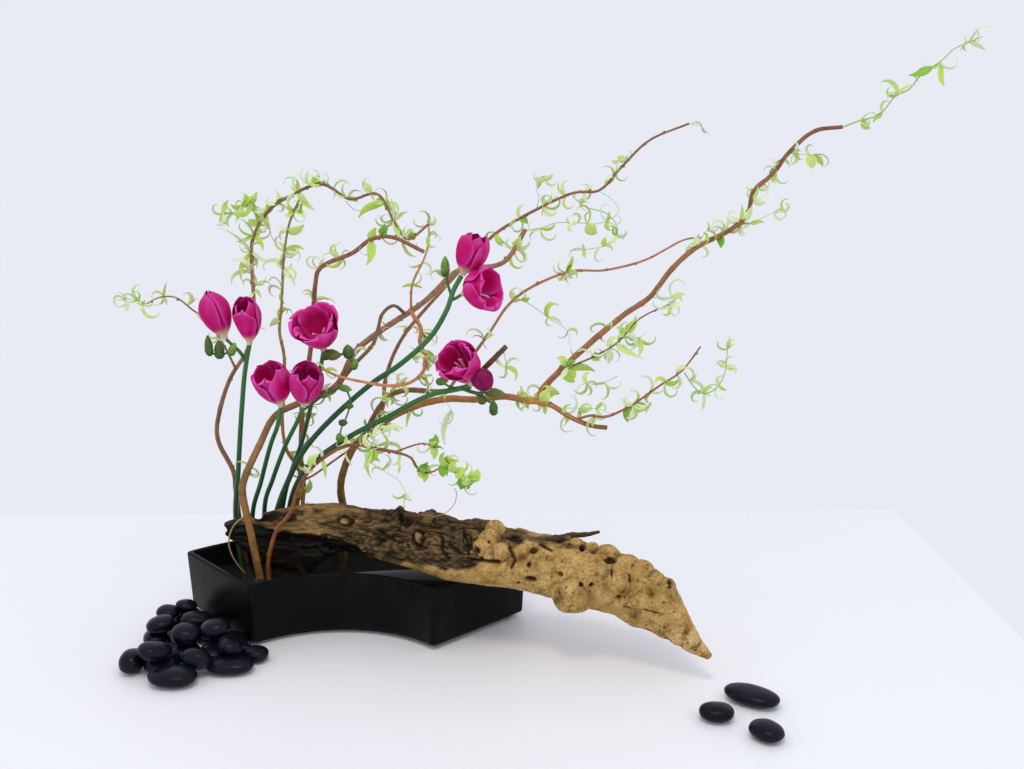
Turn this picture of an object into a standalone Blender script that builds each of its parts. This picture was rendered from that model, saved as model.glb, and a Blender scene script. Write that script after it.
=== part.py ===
"""A freestyle ikebana arrangement: curly willow and freesias in an arc-shaped suiban bowl,
with driftwood laid over the bowl and black pebbles beside it.

Metres, +Z up. The origin is the middle of the bowl's foot, on the table top. The bowl is an
arc seen from above, hollow side towards -Y, where the viewer stands; +X is the viewer's right.
Routes of stems and branches are written in millimetres.
"""

import math

import bmesh
import bpy
from mathutils import Matrix, Vector
from mathutils.bvhtree import BVHTree

MM = 0.001
SEAT = 0.3 * MM  # the gap left between two pieces that touch
SLIDE = 3 * MM  # how deep inside its host a piece starts before it slides out to its seat
LONGEST_RUN = 40  # the longest straight run of a stem, in millimetres

# The bowl: a sector of a ring, 90 degrees of it
INNER_RADIUS = 115 * MM
OUTER_RADIUS = 230 * MM
HALF_ANGLE = math.radians(45)
ARC_CENTRE_Y = -(INNER_RADIUS + OUTER_RADIUS) / 2
RIM_HEIGHT = 60 * MM
WALL = 5 * MM
FOOT_HEIGHT = 4 * MM
FOOT_INSET = 9 * MM
FLOOR_HEIGHT = 9 * MM
LEAN = 2 * MM  # how far the walls lean in from rim to base
CORNER_REACH = 4 * MM  # how far the upright corners' rounding reaches along each side
ARC_STEPS = 18

# The pin holders that stand on the bowl's floor
HOLDER_HEIGHT = 8 * MM
PIN_LENGTH = 12 * MM
PIN_PITCH = 8 * MM
PIN_RADIUS = 1.1 * MM
STEM_ROOM = 5.5 * MM  # how far a pin keeps from the middle of a stem
HOLDER_BASE = FLOOR_HEIGHT + SEAT
STEM_FOOT = HOLDER_BASE + HOLDER_HEIGHT + SEAT
LEFT_HOLDER = (-89, -6, 29)  # x, y, radius
MIDDLE_HOLDER = (-19, 26, 20)

COLOURS = {  # base colour, roughness, metallic
    "black_glaze": ((0.012, 0.012, 0.013), 0.32, 0.0),
    "lead": ((0.16, 0.17, 0.18), 0.55, 1.0),
    "driftwood": ((0.30, 0.19, 0.10), 0.85, 0.0),
    "willow_bark": ((0.23, 0.10, 0.05), 0.6, 0.0),
    "freesia_stem": ((0.04, 0.15, 0.03), 0.45, 0.0),
    "freesia_petal": ((0.55, 0.01, 0.20), 0.5, 0.0),
    "willow_leaf": ((0.38, 0.60, 0.10), 0.5, 0.0),
    "pebble": ((0.012, 0.013, 0.018), 0.3, 0.0),
}


# ---------------------------------------------------------------- scene and helpers

def empty_scene():
    for thing in list(bpy.data.objects):
        bpy.data.objects.remove(thing, do_unlink=True)


def new_collection(name):
    collection = bpy.data.collections.new(name)
    bpy.context.scene.collection.children.link(collection)
    return collection


def new_material(name):
    colour, roughness, metallic = COLOURS[name]
    material = bpy.data.materials.new(name)
    material.use_nodes = True
    shader = material.node_tree.nodes["Principled BSDF"]
    shader.inputs["Base Color"].default_value = (*colour, 1)
    shader.inputs["Roughness"].default_value = roughness
    shader.inputs["Metallic"].default_value = metallic
    material.diffuse_color = (*colour, 1)
    return material


def add_piece(name, mesh, material_name, sharp_angle=40):
    piece = bpy.data.objects.new(name, mesh)
    arrangement.objects.link(piece)
    mesh.materials.clear()
    mesh.materials.append(materials[material_name])
    mesh.shade_smooth()
    mesh.set_sharp_from_angle(angle=math.radians(sharp_angle))
    return piece


def mesh_of(shape, name):
    """A mesh from a bmesh, which is used up."""
    mesh = bpy.data.meshes.new(name)
    bmesh.ops.recalc_face_normals(shape, faces=shape.faces[:])
    shape.to_mesh(mesh)
    shape.free()
    return mesh


def add_loft(shape, rings):
    """Faces between rings of equal count, each a list of points, with an ngon on each end."""
    loops = [[shape.verts.new(point) for point in ring] for ring in rings]
    for low, high in zip(loops, loops[1:]):
        for i in range(len(low)):
            j = (i + 1) % len(low)
            shape.faces.new((low[i], low[j], high[j], high[i]))
    shape.faces.new(loops[0][::-1])
    shape.faces.new(loops[-1])


def boolean(piece, other, operation):
    """Joins other to piece, or cuts it away, and keeps other out of the model."""
    modifier = piece.modifiers.new(operation.lower(), "BOOLEAN")
    modifier.operation = operation
    modifier.solver = "EXACT"
    modifier.object = other
    other.hide_render = True
    other.display_type = "WIRE"


def tool_object(name, mesh):
    tool = bpy.data.objects.new(name, mesh)
    tools.objects.link(tool)
    return tool


def surface_of(mesh):
    return BVHTree.FromPolygons([vertex.co for vertex in mesh.vertices],
                                [polygon.vertices[:] for polygon in mesh.polygons])


def finished_surface(piece):
    return BVHTree.FromObject(piece, bpy.context.evaluated_depsgraph_get())


def seat_beyond(mesh, way, host):
    """Slides the mesh along the way, from inside the host until it just clears it."""
    step = way * SEAT / 3
    shift = -way * SLIDE
    mesh.transform(Matrix.Translation(shift))
    while surface_of(mesh).overlap(host):
        mesh.transform(Matrix.Translation(step))
        shift += step
    return shift


def curved_path(route, step=1.5):
    """Points about a step apart along a smooth curve through the route, in its own units."""
    points = [Vector(point) for point in route]
    ends = [2 * points[0] - points[1], *points, 2 * points[-1] - points[-2]]
    path = []
    for a, b, c, d in zip(ends, ends[1:], ends[2:], ends[3:]):
        count = max(2, round((c - b).length / step))
        for i in range(count):
            t = i / count
            path.append(0.5 * (2 * b + (c - a) * t + (2 * a - 5 * b + 4 * c - d) * t**2
                               + (3 * b - a - 3 * c + d) * t**3))
    return [*path, points[-1]]


def thinned(path, tolerance):
    """The few points of the path that keep it within the tolerance of its shape."""
    first, last = path[0], path[-1]
    along = (last - first).normalized()
    away = [((p - first) - (p - first).dot(along) * along).length for p in path]
    middle = max(range(len(path)), key=away.__getitem__)
    if away[middle] < tolerance:
        if (last - first).length < LONGEST_RUN or len(path) < 3:
            return [first, last]
        middle = len(path) // 2
    front = thinned(path[:middle + 1], tolerance)
    return front[:-1] + thinned(path[middle:], tolerance)


def tube_mesh(name, route, start_radius, end_radius, sides=6, tolerance=0.8):
    """A round stem through the route, in millimetres, that tapers from end to end."""
    points = thinned(curved_path(route), tolerance)
    curve = bpy.data.curves.new(name, "CURVE")
    curve.dimensions = "3D"
    curve.bevel_depth = MM
    curve.bevel_resolution = (sides - 4) // 2
    curve.use_fill_caps = True
    spline = curve.splines.new("POLY")
    spline.points.add(len(points) - 1)
    lengths = [0.0]
    for here, there in zip(points, points[1:]):
        lengths.append(lengths[-1] + (there - here).length)
    for node, point, length in zip(spline.points, points, lengths):
        node.co = (*(point * MM), 1)
        node.radius = start_radius + (end_radius - start_radius) * length / lengths[-1]
    guide = tool_object(name, curve)
    evaluated = guide.evaluated_get(bpy.context.evaluated_depsgraph_get())
    mesh = bpy.data.meshes.new_from_object(evaluated)
    bpy.data.objects.remove(guide)
    bpy.data.curves.remove(curve)
    shape = bmesh.new()
    shape.from_mesh(mesh)
    bpy.data.meshes.remove(mesh)
    bmesh.ops.remove_doubles(shape, verts=shape.verts[:], dist=0.01 * MM)
    return mesh_of(shape, name)


def rooted(x, y):
    """The foot of a stem that stands upright on a pin holder."""
    return [(x, y, STEM_FOOT / MM), (x, y, STEM_FOOT / MM + 8)]


def ellipsoid(shape, centre, size, segments=8, rings=5, turn=None):
    """Adds an ellipsoid of the given full size, in millimetres, to the shape."""
    turn = turn or Matrix.Identity(4)
    scale = Matrix.Diagonal((*(Vector(size) * MM / 2), 1))
    place = Matrix.Translation(Vector(centre) * MM) @ turn @ scale
    bmesh.ops.create_uvsphere(shape, u_segments=segments, v_segments=rings, radius=1, matrix=place)


# ---------------------------------------------------------------- bowl

def sector_ring(inset, height):
    """The bowl's outline moved in by the inset, with its four corners rounded."""

    def on_arc(radius, angle):
        return Vector((radius * math.sin(angle), ARC_CENTRE_Y + radius * math.cos(angle), height))

    def arc(radius, way):
        """The first corner, the arc trimmed for both corners, and the last corner."""
        end = HALF_ANGLE - math.asin(inset / radius)
        trimmed = end - CORNER_REACH / radius
        angles = [way * trimmed * (2 * i / ARC_STEPS - 1) for i in range(ARC_STEPS + 1)]
        points = [on_arc(radius, angle) for angle in angles]
        return on_arc(radius, -way * end), points, on_arc(radius, way * end)

    inner = arc(INNER_RADIUS + inset, 1)
    outer = arc(OUTER_RADIUS - inset, -1)
    ring = []
    for this, other in ((inner, outer), (outer, inner)):
        first, points, last = this
        arriving = (first - other[2]).normalized() * CORNER_REACH
        leaving = (other[0] - last).normalized() * CORNER_REACH
        ring += rounded_corner(first - arriving, first, points[0])
        ring += points[1:-1]
        ring += rounded_corner(points[-1], last, last + leaving)
    return ring


def rounded_corner(before, corner, after):
    return [before.lerp(corner, t).lerp(corner.lerp(after, t), t) for t in (0, 0.5, 1)]


def make_bowl():
    base = LEAN + 2 * MM
    inside = WALL + LEAN
    profile = (  # inset and height, from the foot up the outside and down the inside
        (FOOT_INSET, 0),
        (FOOT_INSET, FOOT_HEIGHT),
        (base, FOOT_HEIGHT),
        (LEAN, FOOT_HEIGHT + 2 * MM),
        (0, RIM_HEIGHT - 1 * MM),
        (1 * MM, RIM_HEIGHT),
        (WALL - 1 * MM, RIM_HEIGHT),
        (WALL, RIM_HEIGHT - 1 * MM),
        (inside, FLOOR_HEIGHT + 3 * MM),
        (inside + 3 * MM, FLOOR_HEIGHT),
    )
    shape = bmesh.new()
    add_loft(shape, [sector_ring(inset, height) for inset, height in profile])
    return add_piece("suiban_bowl", mesh_of(shape, "suiban_bowl"), "black_glaze")


# ---------------------------------------------------------------- pin holders

def make_holder(name, place, stems):
    """A lead disc with brass pins, which leave room for the stems that stand among them."""
    x, y, radius = place
    taper = 1  # the top's radius is this much less, in millimetres
    shape = bmesh.new()
    centre = Matrix.Translation((x * MM, y * MM, HOLDER_BASE + HOLDER_HEIGHT / 2))
    bmesh.ops.create_cone(shape, cap_ends=True, segments=28, radius1=radius * MM,
                          radius2=(radius - taper) * MM, depth=HOLDER_HEIGHT, matrix=centre)
    disc = mesh_of(shape, name)
    pins = bmesh.new()
    sunk = 2 * MM  # how deep a pin is set in the lead
    pin_tip = 0.3 * MM
    edge = 3 * MM  # the margin round the pins
    middle = HOLDER_BASE + HOLDER_HEIGHT + (PIN_LENGTH - sunk) / 2
    reach = radius * MM - edge
    row_pitch = PIN_PITCH * math.sqrt(3) / 2
    rows = int(reach / row_pitch)
    for row in range(-rows, rows + 1):
        for column in range(-rows, rows + 1):
            pin = Vector(((column + row % 2 / 2) * PIN_PITCH, row * row_pitch))
            at = pin + Vector((x, y)) * MM
            blocked = any((at - Vector(foot) * MM).length < STEM_ROOM for foot in stems)
            if pin.length > reach or blocked:
                continue
            bmesh.ops.create_cone(pins, cap_ends=True, segments=4, radius1=PIN_RADIUS,
                                  radius2=pin_tip, depth=PIN_LENGTH + sunk,
                                  matrix=Matrix.Translation((*at, middle)))
    holder = add_piece(name, disc, "lead")
    boolean(holder, tool_object(name + "_pins", mesh_of(pins, name + "_pins")), "UNION")


# ---------------------------------------------------------------- driftwood

# Sections of the log from left to right: centre x, y, z, half its depth, half its height
LOG_SECTIONS = (
    (-90, -3, 94, 4, 4),
    (-79, -4, 94, 8, 8),
    (-52, -8, 94, 12, 14),
    (-23, -12, 88, 19, 23),
    (26, -24, 87, 26, 23),
    (75, -42, 86, 30, 27),
    (99, -52, 83, 33, 28),
    (122, -60, 84, 34, 27),
    (167, -69, 80, 32, 25),
    (207, -78, 75, 31, 26),
    (251, -92, 67, 28, 26),
    (270, -101, 59, 25, 27),
    (282, -109, 53, 20, 22),
    (295, -118, 42, 13, 14),
    (308, -128, 31, 8, 8),
    (321, -137, 24, 3, 3),
)

# The same for the black root end that dips into the water below the log's left end
ROOT_SECTIONS = (
    (-126, -2, 80, 5, 7),
    (-118, -2, 77, 7, 10),
    (-106, -4, 70, 7, 12),
    (-90, -6, 62, 7, 17),
    (-70, -8, 58, 7, 19),
    (-48, -10, 61, 9, 20),
    (-25, -14, 74, 12, 16),
    (-5, -16, 82, 12, 14),
)

# Burls, knots and lumps: centre, full size
LOG_LUMPS = (
    ((-3, -30, 103), (22, 16, 14)),
    ((45, -30, 107), (13, 14, 14)),
    ((128, -76, 101), (22, 20, 22)),
    ((139, -82, 97), (18, 18, 18)),
    ((130, -70, 107), (18, 18, 14)),
    ((181, -82, 92), (30, 34, 28)),
    ((204, -96, 70), (42, 30, 46)),
    ((232, -84, 92), (34, 30, 18)),
    ((262, -98, 84), (34, 28, 22)),
    ((286, -114, 72), (18, 16, 20)),
)

# Roots and splinters: route, start and end radius
LOG_STRANDS = (
    (((-99, -12, 94), (-87, -13, 91), (-68, -14, 86), (-39, -18, 82), (-10, -20, 84)), 4, 9),
    (((-56, -8, 56), (-51, -10, 42), (-48, -11, 28), (-47, -12, 9.3)), 9, 6),
    (((89, -44, 106), (117, -50, 104), (140, -56, 104), (158, -58, 100)), 7, 6),
    (((150, -58, 101), (180, -60, 98), (210, -58, 98), (218, -58, 100), (226, -60, 103)), 5, 2.6),
)
LOG_GRAIN = 4 * MM  # the size of detail that the log keeps
LOG_DETAIL = 0.17  # the share of its faces that the log keeps
LEG_FOOT = (-47 * MM, -12 * MM)  # where the log's leg stands on the bowl's floor
LEG_CUTTER = 60 * MM  # the block that cuts the leg level, wider than the leg
BELOW_TABLE = -10 * MM
LOG_REST_FROM = 20 * MM  # the log rests on the rim to the right of this place along X


def elliptical_ring(centre, along, half_depth, half_height, count=14):
    """A ring of points round a section of the log that faces along it."""
    across = along.cross(Vector((0, 0, 1))).normalized()
    upward = across.cross(along)
    turns = [math.tau * i / count for i in range(count)]
    return [centre + across * half_depth * math.cos(turn) + upward * half_height * math.sin(turn)
            for turn in turns]


def make_driftwood():
    """The log, its lumps and its roots, melted into one and seated on the bowl's rim."""
    shape = bmesh.new()
    for sections in (LOG_SECTIONS, ROOT_SECTIONS):
        centres = [Vector(section[:3]) * MM for section in sections]
        rings = []
        for i, (*_, half_depth, half_height) in enumerate(sections):
            along = centres[min(i + 1, len(centres) - 1)] - centres[max(i - 1, 0)]
            rings.append(elliptical_ring(centres[i], along.normalized(), half_depth * MM,
                                         half_height * MM))
        add_loft(shape, rings)
    for centre, size in LOG_LUMPS:
        ellipsoid(shape, centre, size, 12, 8)
    bmesh.ops.recalc_face_normals(shape, faces=shape.faces[:])
    for number, (route, start, end) in enumerate(LOG_STRANDS):
        strand = tube_mesh(f"strand_{number}", route, start, end, sides=8)
        shape.from_mesh(strand)
        bpy.data.meshes.remove(strand)
    log = add_piece("driftwood", mesh_of(shape, "driftwood"), "driftwood")
    melt = log.modifiers.new("melt", "REMESH")
    melt.mode = "VOXEL"
    melt.voxel_size = LOG_GRAIN
    thin = log.modifiers.new("thin", "DECIMATE")
    thin.ratio = LOG_DETAIL
    boolean(log, right_wall_cutter(), "DIFFERENCE")
    floor = block("bowl_floor", LEG_CUTTER, (*LEG_FOOT, HOLDER_BASE - LEG_CUTTER / 2))
    boolean(log, floor, "DIFFERENCE")


def block(name, size, middle):
    shape = bmesh.new()
    bmesh.ops.create_cube(shape, size=size, matrix=Matrix.Translation(middle))
    return tool_object(name, mesh_of(shape, name))


def right_wall_cutter():
    """The bowl's outline up to its rim, where the log rests on it, and a gap more all round."""
    shape = bmesh.new()
    add_loft(shape, [sector_ring(-SEAT, height) for height in (BELOW_TABLE, RIM_HEIGHT + SEAT)])
    outline = tool_object("bowl_seat", mesh_of(shape, "bowl_seat"))
    width = 2 * OUTER_RADIUS
    left_part = block("bowl_left", width, (LOG_REST_FROM - width / 2, 0, 0))
    boolean(outline, left_part, "DIFFERENCE")
    return outline


# ---------------------------------------------------------------- willow

# Each branch: its name, its main stem, then the twigs that grow from it.
# A stem is its start and end radius, then its route, all in millimetres.
WILLOW = (
    ("willow_arch", (
        (2.6, 1.1, (*rooted(-109, 10), (-115, 17, 60), (-120, 22, 109), (-122, 23, 131),
                    (-135, 24, 161), (-132, 24, 189), (-121, 30, 221), (-105, 36, 247),
                    (-98, 40, 277), (-99, 46, 320), (-98, 50, 350), (-81, 46, 377),
                    (-58, 38, 392), (-26, 26, 404), (2, 12, 392), (29, 2, 397),
                    (46, -6, 370), (57, -9, 359), (76, -14, 373))),
        (1.3, 0.7, ((-116, 31, 230), (-124, 24, 254), (-135, 14, 279), (-146, 6, 291),
                    (-158, 0, 303), (-170, -8, 305), (-181, -14, 300))),
    )),
    ("willow_upright", (
        (2.3, 1.0, (*rooted(-66, 7), (-53, 19, 113), (-59, 22, 135), (-69, 22, 154),
                    (-71, 20, 184), (-66, 16, 217), (-64, 10, 248), (-66, 6, 272),
                    (-61, 0, 302), (-56, -8, 339), (-48, -16, 371), (-37, -20, 394))),
    )),
    ("willow_thick", (
        (3.9, 2.3, (*rooted(-88, -25), (-89, -23, 42), (-94, -26, 83), (-99, -30, 125),
                    (-95, -30, 144), (-82, -24, 172), (-72, -6, 193), (-53, 2, 203),
                    (-33, 5, 210), (-14, 8, 222), (2, 12, 251), (25, 16, 270),
                    (66, 22, 297), (97, 30, 325), (131, 36, 329), (145, 40, 338),
                    (159, 44, 362))),
        (0.9, 1.3, ((74, -2, 375), (74, 0, 357), (69, 4, 340), (57, 10, 315),
                    (54, 20, 289))),
        (2.2, 1.0, ((54, 20, 289), (58, 8, 286), (65, 2, 276), (65, -6, 265),
                    (70, -14, 254), (70, -24, 243), (59, -32, 234), (41, -38, 232),
                    (20, -42, 236), (-2, -46, 242), (-17, -50, 250))),
        (2.0, 1.6, ((-12, 7, 223), (6, -2, 245), (21, -4, 261), (26, -2, 275),
                    (30, 2, 289), (40, 7, 296), (49, 19, 286))),
    )),
    ("willow_curved", (
        (3.2, 1.7, (*rooted(-79, 15), (-60, 27, 107), (-57, 28, 138), (-54, 25, 170),
                    (-51, 22, 202), (-44, 22, 236), (-38, 18, 270), (-32, 10, 314),
                    (-24, 4, 332), (6, -8, 346), (24, -18, 359), (45, -28, 363),
                    (74, -40, 352))),
    )),
    ("willow_main", (
        (4.0, 1.8, (*rooted(-20, 24), (-16, 27, 80), (-19, 28, 111), (-14, 26, 134),
                    (-1, 22, 159), (28, 14, 185), (61, 4, 203), (89, -6, 212),
                    (116, -14, 214), (143, -22, 219), (171, -28, 217), (179, -24, 230),
                    (214, -10, 262), (248, 2, 289), (273, 8, 306), (291, 14, 329),
                    (314, 20, 349), (344, 26, 364), (360, 30, 378), (365, 34, 398),
                    (382, 36, 414), (396, 38, 433), (417, 40, 451), (442, 40, 455))),
        (2.6, 2.0, ((166, -27, 217), (184, -34, 215), (201, -40, 206), (219, -46, 200),
                    (234, -50, 199))),
        (1.3, 0.7, ((207, -42, 204), (220, -50, 210), (234, -56, 211), (255, -64, 224),
                    (277, -72, 243), (295, -78, 258), (309, -84, 280))),
        (1.2, 0.7, ((179, -24, 230), (196, -30, 246), (224, -36, 261), (243, -38, 274),
                    (261, -40, 295), (289, -44, 310))),
        (2.1, 1.1, ((17, 17, 177), (25, 24, 196), (28, 32, 225), (44, 42, 261),
                    (82, 54, 305), (106, 58, 331), (127, 60, 353), (153, 62, 370),
                    (200, 60, 393), (227, 56, 397), (247, 50, 419), (271, 42, 443),
                    (305, 34, 458))),
        (1.6, 0.9, ((82, -4, 211), (91, 0, 221), (105, 8, 240), (127, 18, 270),
                    (143, 26, 293), (164, 34, 309), (200, 42, 323), (233, 46, 324),
                    (270, 50, 333), (304, 52, 351), (322, 52, 354))),
        (2.5, 2.6, ((7, 20, 168), (21, 8, 195), (36, -2, 214), (55, -10, 221),
                    (84, -22, 223), (111, -34, 232), (125, -42, 249), (145, -50, 271))),
    )),
    ("willow_front", (
        (2.4, 1.5, (*rooted(-78, -28), (-80, -25, 42), (-78, -28, 63), (-68, -34, 92),
                    (-53, -40, 112), (-42, -46, 140), (-27, -52, 161), (-5, -58, 178),
                    (12, -62, 184), (33, -66, 182), (52, -70, 180))),
        (0.9, 0.7, ((49, -69, 180), (63, -74, 187), (75, -78, 191), (85, -82, 189))),
        (1.2, 0.7, ((49, -69, 180), (62, -68, 175), (71, -68, 162), (82, -70, 163),
                    (92, -74, 171))),
        (1.1, 1.0, ((-39, -47, 145), (-29, -40, 149), (-9, -42, 164), (6, -50, 176),
                    (16, -62, 184))),
    )),
)


def make_stem(name, stems, material_name):
    """A main stem, cut level at its foot, with its twigs grown into it."""
    (start, end, route), *twigs = stems
    main = tube_mesh(name, route, start, end)
    for vertex in main.vertices:
        vertex.co.z = max(vertex.co.z, STEM_FOOT)
    piece = add_piece(name, main, material_name)
    for number, (start, end, route) in enumerate(twigs, 1):
        twig_name = f"{name}_twig_{number}"
        twig = tool_object(twig_name, tube_mesh(twig_name, route, start, end))
        boolean(piece, twig, "UNION")
    return piece


# ---------------------------------------------------------------- freesias

# Each freesia: its stem and side stems as above, then its buds as centre and full size
FREESIAS = (
    ((
        (2.7, 2.2, (*rooted(-112, 3), (-119, 13, 86), (-113, 10, 136), (-106, 4, 187),
                    (-99, -4, 227), (-94, -9, 248), (-90, -12, 262))),
        (1.8, 1.5, ((-95, -8, 245), (-99, -11, 255), (-105, -13, 262), (-110, -15, 268))),
        (1.2, 0.9, ((-103, -12, 259), (-109, -15, 256), (-118, -16, 253), (-125, -17, 257))),
    ), (
        ((-126, -17, 263), (8, 8, 18)),
        ((-117, -15, 259), (10, 10, 16)),
        ((-105, -13, 259), (8, 8, 12)),
    )),
    ((
        (2.4, 2.1, (*rooted(-102, 12), (-103, 14, 87), (-91, 6, 125), (-77, -6, 165),
                    (-67, -16, 187), (-61, -24, 207))),
    ), ()),
    ((
        (2.4, 2.1, (*rooted(-91, 14), (-91, 14, 94), (-79, 6, 129), (-63, -6, 165),
                    (-49, -18, 190), (-40, -26, 208))),
        (1.2, 0.7, ((-43, -23, 203), (-32, -26, 211), (-22, -28, 219), (-11, -30, 225),
                    (-1, -30, 227), (4, -30, 215), (0, -30, 201), (-5, -30, 190),
                    (-7, -30, 180))),
    ), (
        ((-20, -28, 221), (11, 8, 7)),
        ((0, -30, 227), (12, 7, 7)),
        ((3, -30, 211), (8, 6, 7)),
        ((-3, -30, 195), (8, 6, 7)),
        ((-7, -30, 181), (8, 6, 9)),
    )),
    ((
        (2.3, 2.0, (*rooted(-86, 8), (-72, 16, 104), (-62, 13, 136), (-49, 5, 168),
                    (-35, -10, 210), (-26, -18, 236), (-20, -24, 259))),
        (1.4, 1.0, ((-22, -22, 252), (-11, -25, 254), (-1, -26, 258), (6, -26, 251))),
    ), (
        ((-11, -26, 257), (16, 9, 11)),
        ((3, -27, 261), (11, 10, 12)),
        ((8, -26, 249), (8, 8, 10)),
    )),
    ((
        (2.9, 2.3, (*rooted(-92, 4), (-79, 8, 90), (-62, 3, 132), (-44, -6, 163),
                    (-17, -14, 194), (21, -24, 229), (50, -30, 250), (77, -34, 275),
                    (92, -36, 299), (99, -38, 318), (106, -39, 331))),
        (1.3, 1.0, ((97, -37, 313), (94, -38, 324), (93, -39, 336))),
        (1.6, 1.5, ((96, -37, 309), (102, -39, 312), (106, -41, 315))),
    ), (
        ((92, -39, 340), (8, 8, 17)),
    )),
    ((
        (2.9, 2.2, (*rooted(-73, 9), (-66, 12, 97), (-50, 1, 135), (-30, -8, 156),
                    (3, -22, 181), (39, -30, 202), (71, -36, 221), (97, -42, 230),
                    (114, -46, 234))),
        (1.8, 1.5, ((106, -45, 232), (119, -49, 229), (129, -52, 231))),
        (1.2, 1.0, ((117, -48, 229), (127, -49, 223), (134, -48, 219))),
        (1.1, 0.9, ((102, -43, 231), (94, -48, 235), (90, -50, 239))),
    ), (
        ((136, -52, 230), (18, 9, 9)),
        ((134, -48, 216), (8, 8, 14)),
        ((124, -49, 224), (8, 8, 9)),
        ((90, -50, 240), (11, 7, 8)),
    )),
)

# Each floret: the freesia it grows on, its foot, the middle of its mouth, full width, and how
# open it is. 0 is a closed bud, 0.5 a goblet and 1 an open cup.
FLORETS = (
    (1, (-110.5, -15.3, 269), (-121, -22, 311), 27, 0.15),
    (1, (-89.6, -12.4, 263), (-86, -20, 309), 24, 0.4),
    (4, (-19.7, -24.5, 260), (-24, -37, 304), 40, 1.0),
    (2, (-60.7, -24.8, 208), (-68, -34, 251), 33, 0.6),
    (3, (-39.6, -26.8, 209), (-29, -43, 250), 30, 0.6),
    (5, (107, -39.4, 332), (123, -42, 369), 29, 0.5),
    (5, (107, -41.4, 315.6), (138, -55, 327), 37, 0.9),
    (6, (115, -47, 235.3), (99, -60, 277), 35, 0.8),
    (6, (130, -52.5, 232), (120, -61, 251), 15, 0.0),
)


def floret_mesh(name, length, width, opening):
    """Six petals grown into one funnel that stands on its tube, open at the top."""
    petals = 6
    around = 2 * petals
    tube_radius = 1.7 * MM
    wall = 0.9 * MM
    widest = width / 2
    mouth = widest * (0.35 + 0.65 * opening)
    throat, belly, bottom = 0.25, 0.65, 0.45  # shares of the height
    notch_depth = 0.12  # between two petals, the same

    def radius_at(height):
        if height < throat:
            return tube_radius
        if height < belly:
            rise = (height - throat) / (belly - throat)
            return tube_radius + (widest - tube_radius) * math.sin(rise * math.pi / 2)
        return widest + (mouth - widest) * ((height - belly) / (1 - belly)) ** 2

    def ring(height, inward):
        points = []
        for i in range(around):
            notch = notch_depth * (i % 2) * max(0, height - bottom)
            radius = (radius_at(height) - inward) * (1 - 0.5 * notch)
            turn = math.tau * i / around
            points.append(Vector((radius * math.cos(turn), radius * math.sin(turn),
                                  length * (height - notch))))
        return points

    outside = [ring(height, 0) for height in (0, throat, bottom, belly, 1)]
    inside = [ring(height, wall) for height in (1, belly, bottom)]
    shape = bmesh.new()
    add_loft(shape, outside + inside)
    return mesh_of(shape, name)


def make_florets(freesias):
    for number, (freesia, foot, mouth, width, opening) in enumerate(FLORETS, 1):
        foot, mouth = Vector(foot) * MM, Vector(mouth) * MM
        way = (mouth - foot).normalized()
        name = f"floret_{number}"
        mesh = floret_mesh(name, (mouth - foot).length, width * MM, opening)
        mesh.transform(Matrix.Translation(foot) @ way.to_track_quat("Z", "Y").to_matrix().to_4x4())
        seat_beyond(mesh, way, finished_surface(freesias[freesia - 1]))
        add_piece(name, mesh, "freesia_petal")


def make_freesias():
    """The freesias' stems and buds; gives back the pieces in order."""
    freesias = []
    for number, (stems, buds) in enumerate(FREESIAS, 1):
        name = f"freesia_stem_{number}"
        stem = make_stem(name, stems, "freesia_stem")
        for bud_number, (centre, size) in enumerate(buds, 1):
            shape = bmesh.new()
            ellipsoid(shape, centre, size, 6, 4)
            bud_name = f"{name}_bud_{bud_number}"
            boolean(stem, tool_object(bud_name, mesh_of(shape, bud_name)), "UNION")
        freesias.append(stem)
    return freesias


# ---------------------------------------------------------------- leafy shoots

# Each leafy shoot: the branch it grows on, start and end radius, its route, then how many
# leaves it has and their length
SHOOTS = (
    ("shoot_tip", "willow_main", 1.0, 0.4, (
        (442.7, 40, 455.2), (455, 39, 460), (473, 37, 466), (485, 36, 481), (497, 35, 488),
        (507, 34, 501), (522, 32, 512), (529, 31, 520), (544, 29, 525), (558, 26, 531)), 9, 18),
    ("shoot_left", "willow_arch", 0.7, 0.4, (
        (-181.6, -14.4, 299.8), (-188, -17, 303), (-193, -20, 302), (-198, -22, 305)), 3, 16),
    ("shoot_vine", "willow_main", 0.8, 0.4, (
        (297, -77.4, 256.4), (306, -74, 243), (315, -70, 236), (326, -68, 241),
        (332, -70, 255), (333, -74, 279)), 5, 16),
    ("shoot_curl", "willow_main", 0.7, 0.4, (
        (202, 59, 390.6), (215, 58, 381), (233, 54, 376), (244, 50, 363), (237, 46, 349),
        (219, 44, 344), (200, 46, 342)), 5, 16),
    ("shoot_front", "willow_front", 0.7, 0.4, (
        (92.6, -74.4, 171.4), (101, -76, 167), (108, -74, 157), (115, -72, 158)), 4, 14),
    ("shoot_arch", "willow_arch", 0.7, 0.4, (
        (-82.5, 45, 378), (-92, 42, 377), (-102, 38, 383), (-112, 34, 376),
        (-121, 32, 377)), 5, 18),
)


def add_leaf(shape, root, along, side, length):
    """A slim willow leaf, a closed blade that curls over towards its tip."""
    thickness = 0.35 * MM
    width = length * 0.16
    droop = length * 0.35
    outline = ((0, 0.25), (0.3, 1), (0.65, 0.75), (1, 0.12))  # shares of the length and width
    upward = side.cross(along).normalized()
    rings = []
    for share, spread in outline:
        middle = root + along * length * share - upward * droop * share**2
        half = side * width * spread / 2
        rings.append([middle - half, middle - upward * thickness, middle + half,
                      middle + upward * thickness])
    add_loft(shape, rings)


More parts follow.
